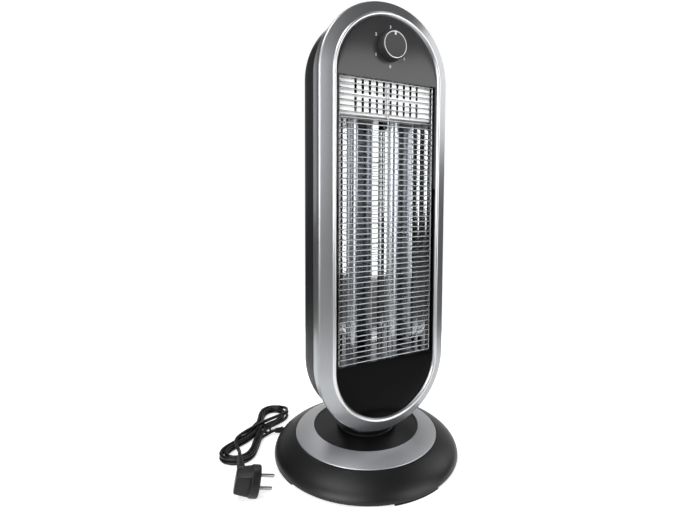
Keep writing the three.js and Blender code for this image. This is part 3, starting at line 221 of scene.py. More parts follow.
def silver_paint(name, color, roughness, flake=0.25):
    """Satin silver paint: metal flakes under a thin clear coat."""
    recipe = Recipe(name, Metallic=0.85, Coat_Weight=0.25, Coat_Roughness=0.2)
    flakes = recipe.noise(5200, 1)
    cloud = recipe.noise(10, 2)
    recipe.set(
        Base_Color=recipe.mix(flakes, shade(color, 1 - flake), shade(color, 1 + flake)),
        Roughness=roughness - 0.03 + 0.06 * cloud,
    )
    return recipe.bumped(flakes, 0.00001, 0.5)


fine = 0.00002
black_plastic = moulded("black_plastic", (0.012, 0.012, 0.013), 0.46, shine=0.25)
base_plastic = moulded("base_plastic", (0.008, 0.008, 0.009), 0.40, depth=fine, shine=0.38)
black_rubber = moulded("black_rubber", (0.006, 0.006, 0.006), 0.62, 1500, 0.00005, 0.2)
cord_cover = moulded("cord_cover", (0.004, 0.004, 0.005), 0.36, 700, 0.00004, 0.3)
plug_cover = moulded("plug_cover", (0.008, 0.008, 0.009), 0.42, 1800, shine=0.3)
knob_plastic = moulded("knob_plastic", (0.030, 0.030, 0.032), 0.40, depth=fine)
white_nylon = moulded("white_nylon", (0.72, 0.69, 0.60), 0.5)
ceramic = moulded("ceramic", (0.80, 0.78, 0.72), 0.6, grain=1300)
white_print = moulded("white_print", (0.85, 0.85, 0.85), 0.5)

upright, level = (1, 1, 0.03), (0.03, 1, 1)
chrome = metal("chrome", (0.40, 0.41, 0.42), 0.24, scale=400)
bright_sheet = metal("bright_sheet", (0.60, 0.61, 0.62), 0.08, upright, 1200, spread=0.05)
vent_sheet = metal("vent_sheet", (0.94, 0.95, 0.96), 0.5, level, 1500)
# The end plates' sheet is painted near black: painted shade and dark reflection for the cavity
# they close.
sheet_painted_dark = metal("sheet_painted_dark", (0.06, 0.06, 0.065), 0.28, level, 1200)
zinc = metal("zinc", (0.55, 0.57, 0.60), 0.4, scale=300, spread=0.25)
dark_iron = metal("dark_iron", (0.09, 0.09, 0.10), 0.6, scale=200, depth=0.0001)
pin_metal = metal("pin_metal", (0.34, 0.34, 0.34), 0.3, scale=500)

frame_silver = silver_paint("frame_silver", (0.37, 0.38, 0.395), 0.36)
# On the bead's crest this lighter silver is partly a brighter paint and partly a painted
# highlight.
bead_silver_and_painted_highlight = silver_paint("bead_silver_and_painted_highlight", (0.68, 0.68, 0.69), 0.30, flake=0.06)
ring_silver = silver_paint("ring_silver", (0.54, 0.55, 0.57), 0.46)


# %% [markdown]
# Three finishes need a recipe of their own. The tubes are quartz with a coating that mirrors
# the heat, the ribbons inside them are carbon, and the panel changes its gloss with height.
# The panel could be two objects with a material each, but the real one is a single moulding, so a
# step in the height above the floor chooses between its two kinds of gloss. The same step chooses
# between two painted colours: lighter above as a painted sheen, and near black below as a painted
# dark reflection.

# %% Glass, carbon and the panel
def glass():
    """Quartz tube with a thin bright coating that throws the heat forward."""
    recipe = Recipe("quartz", Base_Color=(0.86, 0.89, 0.94), Transmission_Weight=1.0, IOR=1.46)
    haze = recipe.noise(90, 3, (1, 1, 0.2))
    recipe.set(Roughness=0.2 + 0.15 * haze, Metallic=0.62 + 0.15 * haze)
    return recipe.material


def carbon():
    """Carbon ribbon: woven fibre, dark grey with a dull shine."""
    recipe = Recipe("carbon", Metallic=0.2)
    fibre = recipe.noise(2600, 2, (1, 1, 0.15))
    recipe.set(
        Base_Color=recipe.mix(fibre, (0.02, 0.02, 0.022), (0.08, 0.08, 0.085)),
        Roughness=0.45 + 0.25 * fibre,
    )
    return recipe.bumped(fibre, 0.00005)


def panel_finish():
    """The panel is satin where the dial is, and polished below the opening. Its colour is painted
    lighter where it is satin, as a painted sheen, and near black where it is polished, as a
    painted dark reflection.
    """
    satin_from = 0.4
    recipe = Recipe("panel", Coat_Roughness=0.26, Specular_IOR_Level=0.05)
    satin = recipe.split("Object")[2].above(satin_from)
    cloud = recipe.noise(16, 2)
    # The colour steps with the gloss: painted lighter above as sheen, painted near black below as
    # dark reflection.
    recipe.set(
        Base_Color=recipe.mix(satin, (0.002, 0.002, 0.002), (0.040, 0.040, 0.042)),
        Roughness=0.14 + 0.24 * satin + 0.05 * cloud,
        Coat_Weight=0.8 * satin,
    )
    return recipe.bumped(recipe.noise(2600, 2) * satin, fine)


quartz, carbon_fibre, panel_black = glass(), carbon(), panel_finish()
print("made", len(bpy.data.materials), "materials")

# %% [markdown]
# ## The lead
# The photograph shows the whole lead: it leaves the base low at the back, goes straight into a
# tied hank, and its tail runs over the hank to the plug. The hank is nearly four long loops
# that lie beside and on each other, drawn in at the waist by the tie. A simulation could let
# the lead fall, but a hank is folded and tied by hand, so its route is drawn as it was laid.

# %% Where the lead lies
def on_circle(radius, degrees):
    return radius * math.cos(math.radians(degrees)), radius * math.sin(math.radians(degrees))


cord_radius = 2.5
base_radius = 140
outlet_x, outlet_y = on_circle(base_radius - 0.625, 136.6)
outlet_heading = 162
outlet_height = 5.5
boot_length = 13
gap = 0.3
hank_x, hank_y, hank_heading = outlet_x - 38.73, outlet_y + 12.34, 226


def placed(x, y, heading, along, across, height):
    """A point given along and across a heading from a place on the floor."""
    cosine, sine = on_circle(1, heading)
    return Vector((x + along * cosine - across * sine, y + along * sine + across * cosine, height))


def from_outlet(distance, height=outlet_height, aside=0.0):
    """A point ahead of the outlet, and a little to its left."""
    return placed(outlet_x, outlet_y, outlet_heading, distance, aside, height)


def on_hank(along, across, height):
    return placed(hank_x, hank_y, hank_heading, along, across, height)


def beyond(end, before, distance):
    """A point straight on from the end of a line."""
    return end + (end - before).normalized() * distance


# %% [markdown]
# The plug stands on the rim of its face, and its pins point down a little. Its points could be
# worked out on the floor one by one. One matrix is simpler: it takes a shape from the plug's
# own frame, with its pins along X, to its place, and each part of the plug uses it.

# %% Where the plug lies
def rotated(degrees, axis, size=4):
    return Matrix.Rotation(math.radians(degrees), size, axis)


def shifted(x, y, z):
    return Matrix.Translation((x, y, z))


plug_x, plug_y = hank_x - 38.6, hank_y - 142.5
plug_heading, plug_tilt = -16, 11
plug_radius, plug_rounding = 19.5, 1.5
rim_up, rim_in = on_circle(1, plug_tilt)
plug_height = plug_radius * rim_up - plug_rounding * rim_in
plug_turned = rotated(plug_heading, "Z") @ rotated(plug_tilt, "Y")
plug_place = shifted(plug_x, plug_y, plug_height) @ plug_turned
relief_length, relief_back, relief_side, relief_drop = 53, 22, 4, 1.5
relief_heading = 95.4


def on_relief(distance):
    """A point on the plug's strain relief."""
    along, across = on_circle(distance, relief_heading)
    return plug_place @ Vector((along - relief_back, across + relief_side, -relief_drop))


print("the plug's middle is", round(plug_height, 1), "mm above the floor")

# %% [markdown]
# The hank is one formula. Its middle line goes round a long loop with a narrow waist. The
# second loop lies inside the first, the third climbs on the second, and the fourth lies on the
# first. At the waist they all rise a little over the strap of the tie. It could be a list of
# points, but in so tight a bundle those soon touch, and a formula can be changed as a whole.

# %% The hank
inner_start, inner_end = 0.822, 2.822
nearer_start, nearer_end = 0.868, 2.868
climb_start, climb_length = 1.822, 0.221
last_rise, last_rise_length = 3.72, 0.18
loop_half_length, loop_nearer = 82.2, 5.7
loop_half_width, loop_inner = 46.2, 11.05
waist_depth, waist_inner, waist_power = 36.36, 4.46, 2.9
bow, bow_middle = 4.5, 0.33
lowest_layer, layer_height = 2.6, 5.85
strap_at, strap_lift, strap_spread = -12, 1.5, 24


def ease(share):
    inside = min(max(share, 0), 1)
    return inside**3 * (10 - 15 * inside + 6 * inside**2)


def step_up(turns, start, length=climb_length):
    return ease((turns - start) / length)


def bow_at(along):
    """How far the whole hank bows to one side."""
    return bow * (bow_middle - (along / loop_half_length) ** 2)


def hank_point(turns):
    """The hank's middle line after so many turns, counted from its waist."""
    climb = (turns - climb_start) / climb_length
    inward = (4 * climb * (1 - climb)) ** 3 if 0 < climb < 1 else 0
    inner = step_up(turns, inner_start) - step_up(turns, inner_end) + 0.5 * inward
    nearer = step_up(turns, nearer_start) - step_up(turns, nearer_end)
    layer = ease(climb) + step_up(turns, last_rise, last_rise_length)
    angle = turn / 4 - turn * turns
    along = (loop_half_length - loop_nearer * nearer) * math.cos(angle)
    sine = math.sin(angle)
    waist = (waist_depth - waist_inner * inner) * abs(sine) ** waist_power
    across = sine * (loop_half_width - loop_inner * inner - waist) + bow_at(along)
    lift = strap_lift * math.exp(-(((along - strap_at) / strap_spread) ** 2))
    return on_hank(along, across, lowest_layer + layer_height * layer + lift)


hank_steps = 92
first_turn, last_turn = 0.042, 3.86
turn_step = (last_turn - first_turn) / hank_steps
hank = [hank_point(first_turn + turn_step * i) for i in range(hank_steps + 1)]
cord_space = 2 * cord_radius + gap
hank_start = beyond(hank[0], hank[1], cord_space)
hank_end = beyond(hank[-1], hank[-2], cord_space)
print("the hank is", round(max(point.z for point in hank) + cord_radius, 1), "mm high")

# %% [markdown]
# One smooth curve runs through all the points, from inside the outlet's boot to inside the
# plug's relief. A circle could be swept along it as a mesh, but a curve object with a round
# bevel stays a cord that can still be laid in another way, and it knows its own length.

# %% The lead as one curve
tail = (
    (-46, 20, 15.2), (-32, 13.8, 16.4), (-18, 7, 17.1), (-5, 0.8, 17), (7, -5.6, 16),
    (19, -11.2, 15), (31, -14.6, 14.5), (42, -14.2, 14.3), (53, -7.5, 14), (63, 1, 14.2),
    (71.5, 8.5, 15.3),
)
lead_points = [
    from_outlet(boot_length - 1),
    from_outlet(boot_length + gap + cord_radius / 2, outlet_height - 0.1),
    from_outlet(19.5, 4.6, 1.3),
    from_outlet(26.8, 3.4, 6),
    from_outlet(32.6, 2.8, 11.2),
    beyond(hank_start, hank[0], cord_radius),
    *hank,
    beyond(hank_end, hank[-1], cord_radius),
    *(on_hank(*point) for point in tail),
    on_relief(relief_length + gap + 3 * cord_radius),
    on_relief(relief_length - 2),
]
lead_curve = bpy.data.curves.new("mains_lead", "CURVE")
lead_curve.dimensions = "3D"
lead_curve.bevel_depth = cord_radius * mm
lead_curve.bevel_resolution = 3
lead_curve.resolution_u = 5
lead_curve.use_fill_caps = True
lead_curve.materials.append(cord_cover)
spline = lead_curve.splines.new("BEZIER")
spline.bezier_points.add(len(lead_points) - 1)
for bezier, point in zip(spline.bezier_points, lead_points):
    bezier.co = point * mm
    bezier.handle_left_type = bezier.handle_right_type = "AUTO"
mains_lead = linked("mains_lead", lead_curve)
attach(mains_lead, "base")
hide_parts("cord_lead", "cord_hank", "cord_tail")

# %% [markdown]
# ## Small tools for turned pieces
# Most of the heater's round pieces are turned or moulded about an axis. They could be put
# together from cylinders and cones, but one profile of a few (radius, height) pairs, spun once
# round, gives every step and rounding at the same time. The pairs are in millimetres, so they
# can be read against a drawing of the real part. No real edge is a knife edge, and `soften`
# bevels the sharp ones.

# %% Spinning and softening
def outline(bm, points, closed=True):
    """New vertices joined by edges, one after another."""
    verts = [bm.verts.new(point) for point in points]
    pairs = zip(verts, verts[1:] + verts[:1]) if closed else zip(verts, verts[1:])
    return verts, [bm.edges.new(pair) for pair in pairs]


def settle(bm, *places, verts=None):
    """Moves the shape, or some of its vertices, by one matrix after another."""
    for place in places:
        bmesh.ops.transform(bm, matrix=place, verts=verts or bm.verts)


def swept(bm, items, angle, steps, centre=(0, 0, 0), axis=(0, 0, 1), merge=False):
    """Sweeps vertices, edges or faces round an axis, and gives back the ones at the far end."""
    return bmesh.ops.spin(
        bm, geom=items, cent=centre, axis=axis, angle=angle, steps=steps, use_merge=merge
    )["geom_last"]


def spun(profile, steps, *places, closed=False):
    """A profile of (radius, height) pairs spun about the upright axis, then put in place."""
    bm = bmesh.new()
    verts, edges = outline(bm, [(radius, 0, height) for radius, height in profile], closed)
    swept(bm, verts + edges, turn, steps, merge=True)
    bmesh.ops.remove_doubles(bm, verts=bm.verts, dist=0.001)
    settle(bm, *places)
    return bm


def soften(bm, width, angle=50, segments=2):
    """Bevels the edges where two faces meet at more than an angle."""
    sharp = [
        edge
        for edge in bm.edges
        if len(edge.link_faces) == 2 and edge.calc_face_angle(0) > math.radians(angle)
    ]
    bmesh.ops.bevel(
        bm,
        geom=sharp,
        offset=width,
        offset_type="OFFSET",
        segments=segments,
        profile=0.5,
        affect="EDGES",
        material=-1,
        clamp_overlap=True,
    )


# %% [markdown]
# `finished` makes an object in metres from a bmesh, gives it a finish, hangs it on the body it
# rides on, and hides the CAD nodes it stands for. Each piece could do this for itself, but then
# one of those steps would soon be forgotten.

# %% From a bmesh to a finished piece
def as_object(bm, name):
    """An object in metres, with its faces turned outward."""
    bmesh.ops.recalc_face_normals(bm, faces=bm.faces)
    bmesh.ops.scale(bm, vec=(mm, mm, mm), verts=bm.verts)
    mesh = bpy.data.meshes.new(name)
    bm.to_mesh(mesh)
    bm.free()
    return linked(name, mesh)


def finished(bm, name, finishes, body, nodes, smooth=35):
    piece = as_object(bm, name)
    for finish in finishes if isinstance(finishes, list) else [finishes]:
        piece.data.materials.append(finish)
    piece.data.polygons.foreach_set("use_smooth", [True] * len(piece.data.polygons))
    piece.data.set_sharp_from_angle(angle=math.radians(smooth))
    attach(piece, body)
    if nodes:
        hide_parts(*nodes)
    print("made", name, "with", len(piece.data.polygons), "faces")
    return piece


# %% [markdown]
# ## The plug
# The plug is a moulded rubber body with a round face and two pins. Its back narrows to a flat
# grip, and the lead enters it sideways through a ribbed relief that tapers. The grip could be
# cut from the round body, but moving in the points that stand too far out keeps the mesh whole.

# %% Plug
lying = rotated(90, "Y")
grip_start, grip_half, grip_share = -12, 11, 0.3


def plug_shape():
    profile = [
        (0, 0), (18.0, 0), (plug_radius, -plug_rounding), (plug_radius, -10.3),
        (18.2, -13), (15.5, -29.5), (14, -31), (0, -31),
    ]
    bm = spun(profile, 64, lying)
    for vert in bm.verts:
        if vert.co.x < grip_start and abs(vert.co.y) > grip_half:
            pinched = grip_half + (abs(vert.co.y) - grip_half) * grip_share
            vert.co.y = math.copysign(pinched, vert.co.y)
    soften(bm, 0.7, angle=25)
    settle(bm, plug_place)
    return finished(bm, "plug_moulding", plug_cover, "base", ["plug_body"])


def relief_shape():
    """Tapered relief: a smooth root that grows out of the body, then ribs round it."""
    profile = [(0, 2), (6, 2), (5.9, 24)]
    rib_count, rib_pitch, rib_height = 6, 4.4, 1.1
    for i in range(rib_count):
        start, radius = 25 + i * rib_pitch, 5.6 - 0.3 * i
        groove = radius - rib_height
        profile += [(groove, start - 0.6), (groove, start + 0.4)]
        profile += [(radius, start + 1.2), (radius - 0.1, start + 3.0)]
    profile += [(3.7, relief_length - 1), (3.3, relief_length), (0, relief_length)]
    root = shifted(-relief_back, relief_side, -relief_drop) @ rotated(relief_heading, "Z") @ lying
    bm = spun(profile, 32, root, plug_place)
    return finished(bm, "plug_relief", plug_cover, "base", (), 50)


def pin_shape(number, height):
    profile = [(0, -8), (2.2, -8), (2.2, 16.4), (1.7, 17.5), (1.0, 18), (0, 18)]
    bm = spun(profile, 32, shifted(0, 0, height) @ lying, plug_place)
    name, node = f"plug_contact_{number}", f"plug_pin_{number}"
    return finished(bm, name, pin_metal, "base", [node], 50)


pin_offset = 8.5
plug_moulding, plug_relief = plug_shape(), relief_shape()
plug_contacts = [pin_shape(1, -pin_offset), pin_shape(2, pin_offset)]

# %% [markdown]
# ## The outlet and the tie
# A rubber boot guides the lead out of the skirt: a collar against the skirt and a taper beyond
# it, with shallow ribs. Rings could be joined to a cone for it, but it is round all over and
# hollow, so one closed profile is spun.

# %% Outlet
boot_profile = [
    (2.55, -13), (4.8, -13), (4.8, -11), (3.8, -11), (3.8, 0.6), (5.3, 0.6),
    (5.3, 2.4), (4.9, 3.0), (4.6, 4.4), (4.2, 5.0), (4.5, 5.8), (4.3, 7.4),
    (3.9, 8.0), (4.1, 8.8), (3.7, 12.4), (3.3, boot_length), (2.55, boot_length),
]
boot_place = shifted(outlet_x, outlet_y, outlet_height) @ rotated(outlet_heading, "Z") @ lying
boot = spun(boot_profile, 40, boot_place, closed=True)
outlet_boot = finished(boot, "outlet_boot", black_rubber, "base", ["cord_outlet"])
print("the outlet is", outlet_height, "mm above the floor")

# %% [markdown]
# ## Small tools for flat pieces
# A flat piece is drawn out, not spun: its face is extruded to its thickness. The operator gives
# back all that it made in one list, so `only` picks out the kind that is wanted. A plain box
# could be extruded too, but a cube scaled between two corners is shorter.

# %% Boxes and thickness
def only(kind, items):
    """The vertices, edges or faces among the things that an operator gives back."""
    return [item for item in items if isinstance(item, kind)]


def shift(bm, way, verts=None):
    bmesh.ops.translate(bm, vec=way, verts=verts or bm.verts)


def thickened(bm, faces, way):
    """Draws faces out into a solid, and gives back the new faces."""
    grown = bmesh.ops.extrude_face_region(bm, geom=faces)["geom"]
    shift(bm, way, only(BMVert, grown))
    return only(BMFace, grown)


def block(bm, low, high):
    """A box between two corners."""
    verts = bmesh.ops.create_cube(bm, size=1)["verts"]
    bmesh.ops.scale(bm, vec=[b - a for a, b in zip(low, high)], verts=verts)
    shift(bm, [(a + b) / 2 for a, b in zip(low, high)], verts)


# %% [markdown]
# The tie is a flat strap round all the runs of the hank, with a small clip at one side. A curve
# could go round them, but a flat section needs a second curve for its bevel. Here the band
# between two outlines is filled, and then drawn out to the width of the strap.

# %% Tie
strap_half, strap_top, strap_thickness, strap_width = 14.3, 12.65, 0.7, 6
strap_corner = 3


def strap_outline(radius, steps=6):
    """The strap seen along the hank: a level oblong with round corners."""
    points = []
    x = strap_at - strap_width / 2
    right, upper = strap_half - strap_corner, strap_top - strap_corner
    lower = strap_thickness + strap_corner
    centres = ((right, upper), (-right, upper), (-right, lower), (right, lower))
    for quarter, (centre_y, centre_z) in enumerate(centres):
        for i in range(steps + 1):
            across, up = on_circle(radius, 90 * (quarter + i / steps))
            points.append((x, centre_y + across, centre_z + up))
    return points


def tie_shape():
    """A strap round the waist of the hank, with its clip."""
    bm = bmesh.new()
    edges = []
    for radius in (strap_corner, strap_corner + strap_thickness):
        edges += outline(bm, strap_outline(radius))[1]
    thickened(bm, bmesh.ops.bridge_loops(bm, edges=edges)["faces"], (strap_width, 0, 0))
    clip_low, clip_high = (-4, -2.7, 6.8), (4, 2.3, 9.2)
    beside = Vector((strap_at, -strap_half, 0))
    block(bm, beside + Vector(clip_low), beside + Vector(clip_high))
    soften(bm, 0.2, angle=60, segments=1)
    shift(bm, (0, bow_at(strap_at), 0))
    settle(bm, shifted(hank_x, hank_y, 0) @ rotated(hank_heading, "Z"))
    return finished(bm, "hank_strap", black_rubber, "base", ["hank_tie"])


hank_strap = tie_shape()

# %% [markdown]
# ## The base
# The base is a heavy round foot: a satin black skirt that bulges to the floor, a sloping
# silver ring set into it, and a flat deck inside the ring. Each of these is one profile spun
# round the upright axis. The skirt's bulge could be a row of points chosen by eye, but a
# quadratic curve needs only three and has no dents. A real moulding has no knife edges, so the
# corners are bevelled.

# %% Base mouldings
def quadratic(start, by, end, steps):
    """Points of a curve that bends from one pair to another by way of a third."""
    points = []
    for i in range(steps + 1):
        t = i / steps
        weights = ((1 - t) ** 2, 2 * t * (1 - t), t * t)
        points.append(
            tuple(sum(w * p[k] for w, p in zip(weights, (start, by, end))) for k in (0, 1))
        )
    return points


fine_round = 192


def base_moulding():
    skirt = quadratic((base_radius, 2.8), (139.7, 16), (108.1, 29.5), 18)
    under = quadratic((106.55, 25.4), (137.2, 13.5), (137.5, 2.8), 12)
    deck = [(108.1, 27.9), (80.1, 36.8), (77.6, 36.5), (15.5, 36.5), (15.5, 34), (77.6, 34)]
    bm = spun(skirt + deck + under, fine_round, closed=True)
    soften(bm, 0.5, angle=40, segments=3)
    return finished(bm, "base_moulding", base_plastic, "base", ["base_shell"])


ring_profile = [
    (107.8, 28.2), (107.8, 29.2), (107.5, 29.8), (106.9, 30.1),
    (80.9, 38.45), (80.4, 38.5), (80.1, 38.2), (80.1, 37.1),
]
base_moulding()
ring = spun(ring_profile, fine_round, closed=True)
finished(ring, "silver_ring", ring_silver, "base", ["trim_ring"], 50)

# %% [markdown]
# Four rubber pads lie under the rim. Each could be a box that is bent, but a pad is a piece of
# a ring, so a small rectangle spun through an arc gives its true shape at once.

# %% Feet
def foot_shape(name, degrees):
    bm = bmesh.new()
    inner, outer, top, span = 126.6, 139.6, 2.5, 28.8
    corners = [(inner, 0, 0), (outer, 0, 0), (outer, 0, top), (inner, 0, top)]
    verts = outline(bm, corners)[0]
    start = bm.faces.new(verts)
    turned = rotated(degrees - span / 2, "Z", 3)
    bmesh.ops.rotate(bm, cent=(0, 0, 0), matrix=turned, verts=verts)
    swept(bm, [start], math.radians(span), 16)
    soften(bm, 0.5)
    return finished(bm, "pad_" + name, black_rubber, "base", ["foot_" + name])


for i, name in enumerate(("right", "rear", "left", "front")):
    foot_shape(name, 90 * i)

# %% [markdown]
# ## Small tools for openings
# Recesses, slots and windows could all be cut with Booleans, which need a second object for
# each cut. Where the face round an opening is flat, it is simpler to draw both outlines and to
# fill the space between them. `filled` does that, and `drawn` takes open edges further as a
# wall.

# %% Filling and drawing out
def open_edges(bm, test=lambda point: True):
    """The edges with a face on one side only, both of whose ends pass a test."""
    return [
        edge
        for edge in bm.edges
        if edge.is_boundary and all(test(vert.co) for vert in edge.verts)
    ]


def filled(bm, edges):
    """Faces inside an outline. The outlines inside it stay open, as holes."""
    made = bmesh.ops.triangle_fill(bm, use_beauty=True, use_dissolve=False, edges=edges)
    return only(BMFace, made["geom"])


def drawn(bm, edges, way=(0, 0, 0)):
    """Draws edges out into walls, and gives back the new rim's vertices and edges."""
    grown = bmesh.ops.extrude_edge_only(bm, edges=edges)["geom"]
    verts = only(BMVert, grown)
    shift(bm, way, verts)
    return verts, only(BMEdge, grown)


# %% [markdown]
# ## Screws
# A pan-head screw is a turned cap with a cross recess. The recess is a cross-shaped hole in
# the top face: its edges are extruded down and its floor is filled. The eight screws could be
# copies of one mesh, but they come in two sizes, so one function makes them all.

# %% Screws
def cross_outline(long, wide):
    """A cross, as one arm and its three quarter turns."""
    points = []
    arm = [(long, -wide), (long, wide), (wide, wide)]
    for _ in range(4):
        points += [(x, y, 0) for x, y in arm]
        arm = [(-y, x) for x, y in arm]
    return points


def screw_shape(name, node, body, place, head, cap, shank, length):
    """A screw whose head faces up at zero height, put in place by a matrix."""
    bm = spun(
        [
            (0, -length), (shank * 0.5, -length), (shank, -length + 2), (shank, -cap),
            (head, -cap), (head, -cap * 0.45), (head * 0.88, -cap * 0.12), (head * 0.72, 0),
        ],
        32,
    )
    filled(bm, open_edges(bm) + outline(bm, cross_outline(head * 0.55, head * 0.14))[1])
    filled(bm, drawn(bm, open_edges(bm), (0, 0, -cap * 0.6))[1])
    settle(bm, place)
    return finished(bm, name, zinc, body, [node])


base_screw_circle, base_screw_height = 112, 2.8
for i in range(4):
    x, y = on_circle(base_screw_circle, 20 + 90 * i)
    facing_down = shifted(x, y, base_screw_height) @ rotated(180, "X")
    names = f"base_fixing_{i + 1}", f"base_screw_{i + 1}"
    screw_shape(*names, "base", facing_down, head=4, cap=1, shank=1.7, length=13)

# %% [markdown]
# The switch that cuts the power when the heater tips over has a nylon foot. The floor holds it
# in, and a spring drives it out when the base is lifted. It could be part of the base to look
# at, but it moves on its own, so it is a separate turned piece that rides on the plunger.

# %% Tip-over foot
tip_y = -95
tip_profile = [
    (0, 0), (3.2, 0), (4, 0.8), (4, 11.1), (6.5, 11.1),
    (6.5, 12.1), (2, 12.1), (2, 18.7), (0, 18.7),
]
tip = spun(tip_profile, 40, shifted(0, tip_y, 0))
finished(tip, "tip_foot", white_nylon, "plunger", ["tip_plunger"])

# %% [markdown]
# ## The head's outline
# Seen from the front, the head is an upright oblong: two half circles joined by straight
# sides. Its frame, its shell and its panel share that outline. A curve could carry a bevel
# object round it, but the same four steps by operators keep each profile just as it is drawn.
# `carried` takes a profile once round: half a turn, straight down, half a turn, and up again.

# %% The oblong
lower_centre, upper_centre = 155.1, 551.4
straight = upper_centre - lower_centre
half_round = 48


def carried(bm, profile, closed=True):
    """Carries a profile of (radius, y) pairs round the head's oblong."""
    verts, edges = outline(bm, [(radius, y, upper_centre) for radius, y in profile], closed)
    for centre, way in ((upper_centre, -straight), (lower_centre, straight)):
        turned = swept(bm, verts + edges, turn / 2, half_round, (0, 0, centre), (0, -1, 0))
        verts, edges = drawn(bm, only(BMEdge, turned), (0, 0, way))
    bmesh.ops.remove_doubles(bm, verts=bm.verts, dist=0.002)


def oblong(radius, y):
    """The oblong itself as points."""
    points = []
    for centre, start in ((upper_centre, 0), (lower_centre, 180)):
        for i in range(half_round + 1):
            x, z = on_circle(radius, start + 180 * i / half_round)
            points.append((x, y, centre + z))
    return points


print("the straight sides are", round(straight, 1), "mm long")

# %% [markdown]
# ## The front frame
# From the side inward, the frame is a band that widens to the front, a narrow bevelled edge that
# catches the light, a broad slope, and a bright rounded bead round the panel. The bead could be an
# object of its own, but it is part of the same moulding, so its faces are found by their place and
# given the second material: a lighter silver on its crest, which is partly a brighter paint and
# partly a painted highlight. Its inner flank keeps the grey frame paint as painted shade.

# %% Front frame
def front_frame_shape():
    side = quadratic((98.8, -25), (103.5, -39.15), (103.5, -52.6), 8)
    edge = [(103.45, -53.0), (103.2, -53.4), (101.95, -54.85), (101.5, -55.1)]
    slope = [(100.9, -55.4), (95.2, -58.15), (88.4, -61.3), (87.2, -61.8)]
    bead = [
        (86.6, -62.1), (86.3, -62.7), (85.8, -63.4), (85.0, -63.9), (84.2, -64.05),
        (83.4, -63.9), (82.6, -63.5), (81.9, -62.8), (81.2, -61.9), (80.3, -60.4),
    ]
    behind = [(80.3, -59.0), (88.3, -59.0), (99.7, -53.3)]
    inside = quadratic((101.3, -50.1), (101.3, -39.15), (96.6, -25), 6)
    bm = bmesh.new()
    carried(bm, side + edge + slope + bead + behind + inside)
    bead_highlight_inner, bead_highlight_outer, bead_highlight_back = 82, 86.6, -62
    bead_highlight_faces = 0
    # The crest takes the lighter silver, partly a brighter paint and partly a painted highlight.
    # The inner flank keeps the grey frame paint as painted shade.
    for face in bm.faces:
        middle = face.calc_center_median()
        above = max(middle.z - upper_centre, lower_centre - middle.z, 0)
        radius = math.hypot(middle.x, above)
        if bead_highlight_inner < radius < bead_highlight_outer and middle.y < bead_highlight_back:
            face.material_index = 1
            bead_highlight_faces += 1
    print("the bead has", bead_highlight_faces, "faces")
    finishes = [frame_silver, bead_silver_and_painted_highlight]
    return finished(bm, "front_bezel", finishes, "head", ["front_frame"], 50)


front_frame_shape()

# %% [markdown]
# ## The rear shell
# A black moulding curves from the frame to a flat back with two groups of slots. Both faces of
# its wall could be drawn, but then each slot would have to be made twice. Here it is a skin
# with its slots, which Solidify gives a wall. Four screw wells are then joined to it and bored
# out.

# %% The shell's profile
shell_wall = 2.2
shell_front, shell_middle, shell_bend, back_y = -24.7, -15, -5, 50
side_radius, back_half = 98.8, 38
vent_starts, vent_count, vent_pitch = (lower_centre + 30, upper_centre - 78), 5, 12


def shell_profile(grow=0.0, steps=16):
    """The shell's quarter ellipse, from its side to its flat back."""
    across = side_radius + grow - back_half
    deep = back_y - shell_bend + grow
    angles = [turn / 4 * i / steps for i in range(steps + 1)]
    return [
        (back_half + across * math.cos(angle), shell_bend + deep * math.sin(angle))
        for angle in angles
    ]


def vent_slot(z, half_length=30, half_height=2, steps=6):
    """A level slot with round ends in the flat back."""
    points = []
    for side, start in ((1, -90), (-1, 90)):
        for i in range(steps + 1):
            along, up = on_circle(half_height, start + 180 * i / steps)
            points.append((side * (half_length - half_height) + along, back_y, z + up))
    return points


def rim_at(bm, y):
    """The open edges at one depth."""
    return open_edges(bm, lambda point: abs(point.y - y) < 0.01)


# %% [markdown]
# A screw well is a hollow post inside the shell. It ends on the curve of the shell, which no
# spun profile does, so this is where Booleans are worth their cost. Plain rods are made for
# the posts and for their bores, and Boolean modifiers trim the posts to the shell, join them
# and bore them out.

# %% Screw wells
def applied(piece):
    """Bakes the piece's modifiers into its mesh."""
    evaluated = piece.evaluated_get(bpy.context.evaluated_depsgraph_get())
    old = piece.data
    piece.data = bpy.data.meshes.new_from_object(evaluated)
    piece.modifiers.clear()
    bpy.data.meshes.remove(old)
    piece.data.set_sharp_from_angle(angle=math.radians(35))
    return piece


def rod_along_y(bm, radius, front, back, x, z):
    made = bmesh.ops.create_cone(
        bm, cap_ends=True, segments=32, radius1=radius, radius2=radius, depth=back - front
    )["verts"]
    settle(bm, shifted(x, (front + back) / 2, z) @ rotated(90, "X"), verts=made)


def combine(piece, other, operation):
    """Joins, cuts or intersects a piece with another object, which is then removed."""
    step = piece.modifiers.new(operation, "BOOLEAN")
    step.operation = operation
    step.object = other
    step.solver = "EXACT"
    applied(piece)
    bpy.data.objects.remove(other)


screw_circle, screw_slant = 92.3, 35
screw_seat, cap_height = 3.74, 2.4
well_radius, head_bore, shank_bore = 4.9, 3.7, 2.0
bore_past, bore_overlap, shank_bore_front = 5, 1, -30
screw_up, screw_aside = on_circle(screw_circle, screw_slant)
screw_places = [
    (side * screw_aside, z)
    for side in (-1, 1)
    for z in (lower_centre - screw_up, upper_centre + screw_up)
]


# %% Rear shell
def walled(piece, thickness, offset=-1):
    """Gives a skin its thickness and bakes it."""
    wall = piece.modifiers.new("wall", "SOLIDIFY")
    wall.thickness = thickness * mm
    wall.offset = offset
    wall.use_even_offset = True
    return applied(piece)


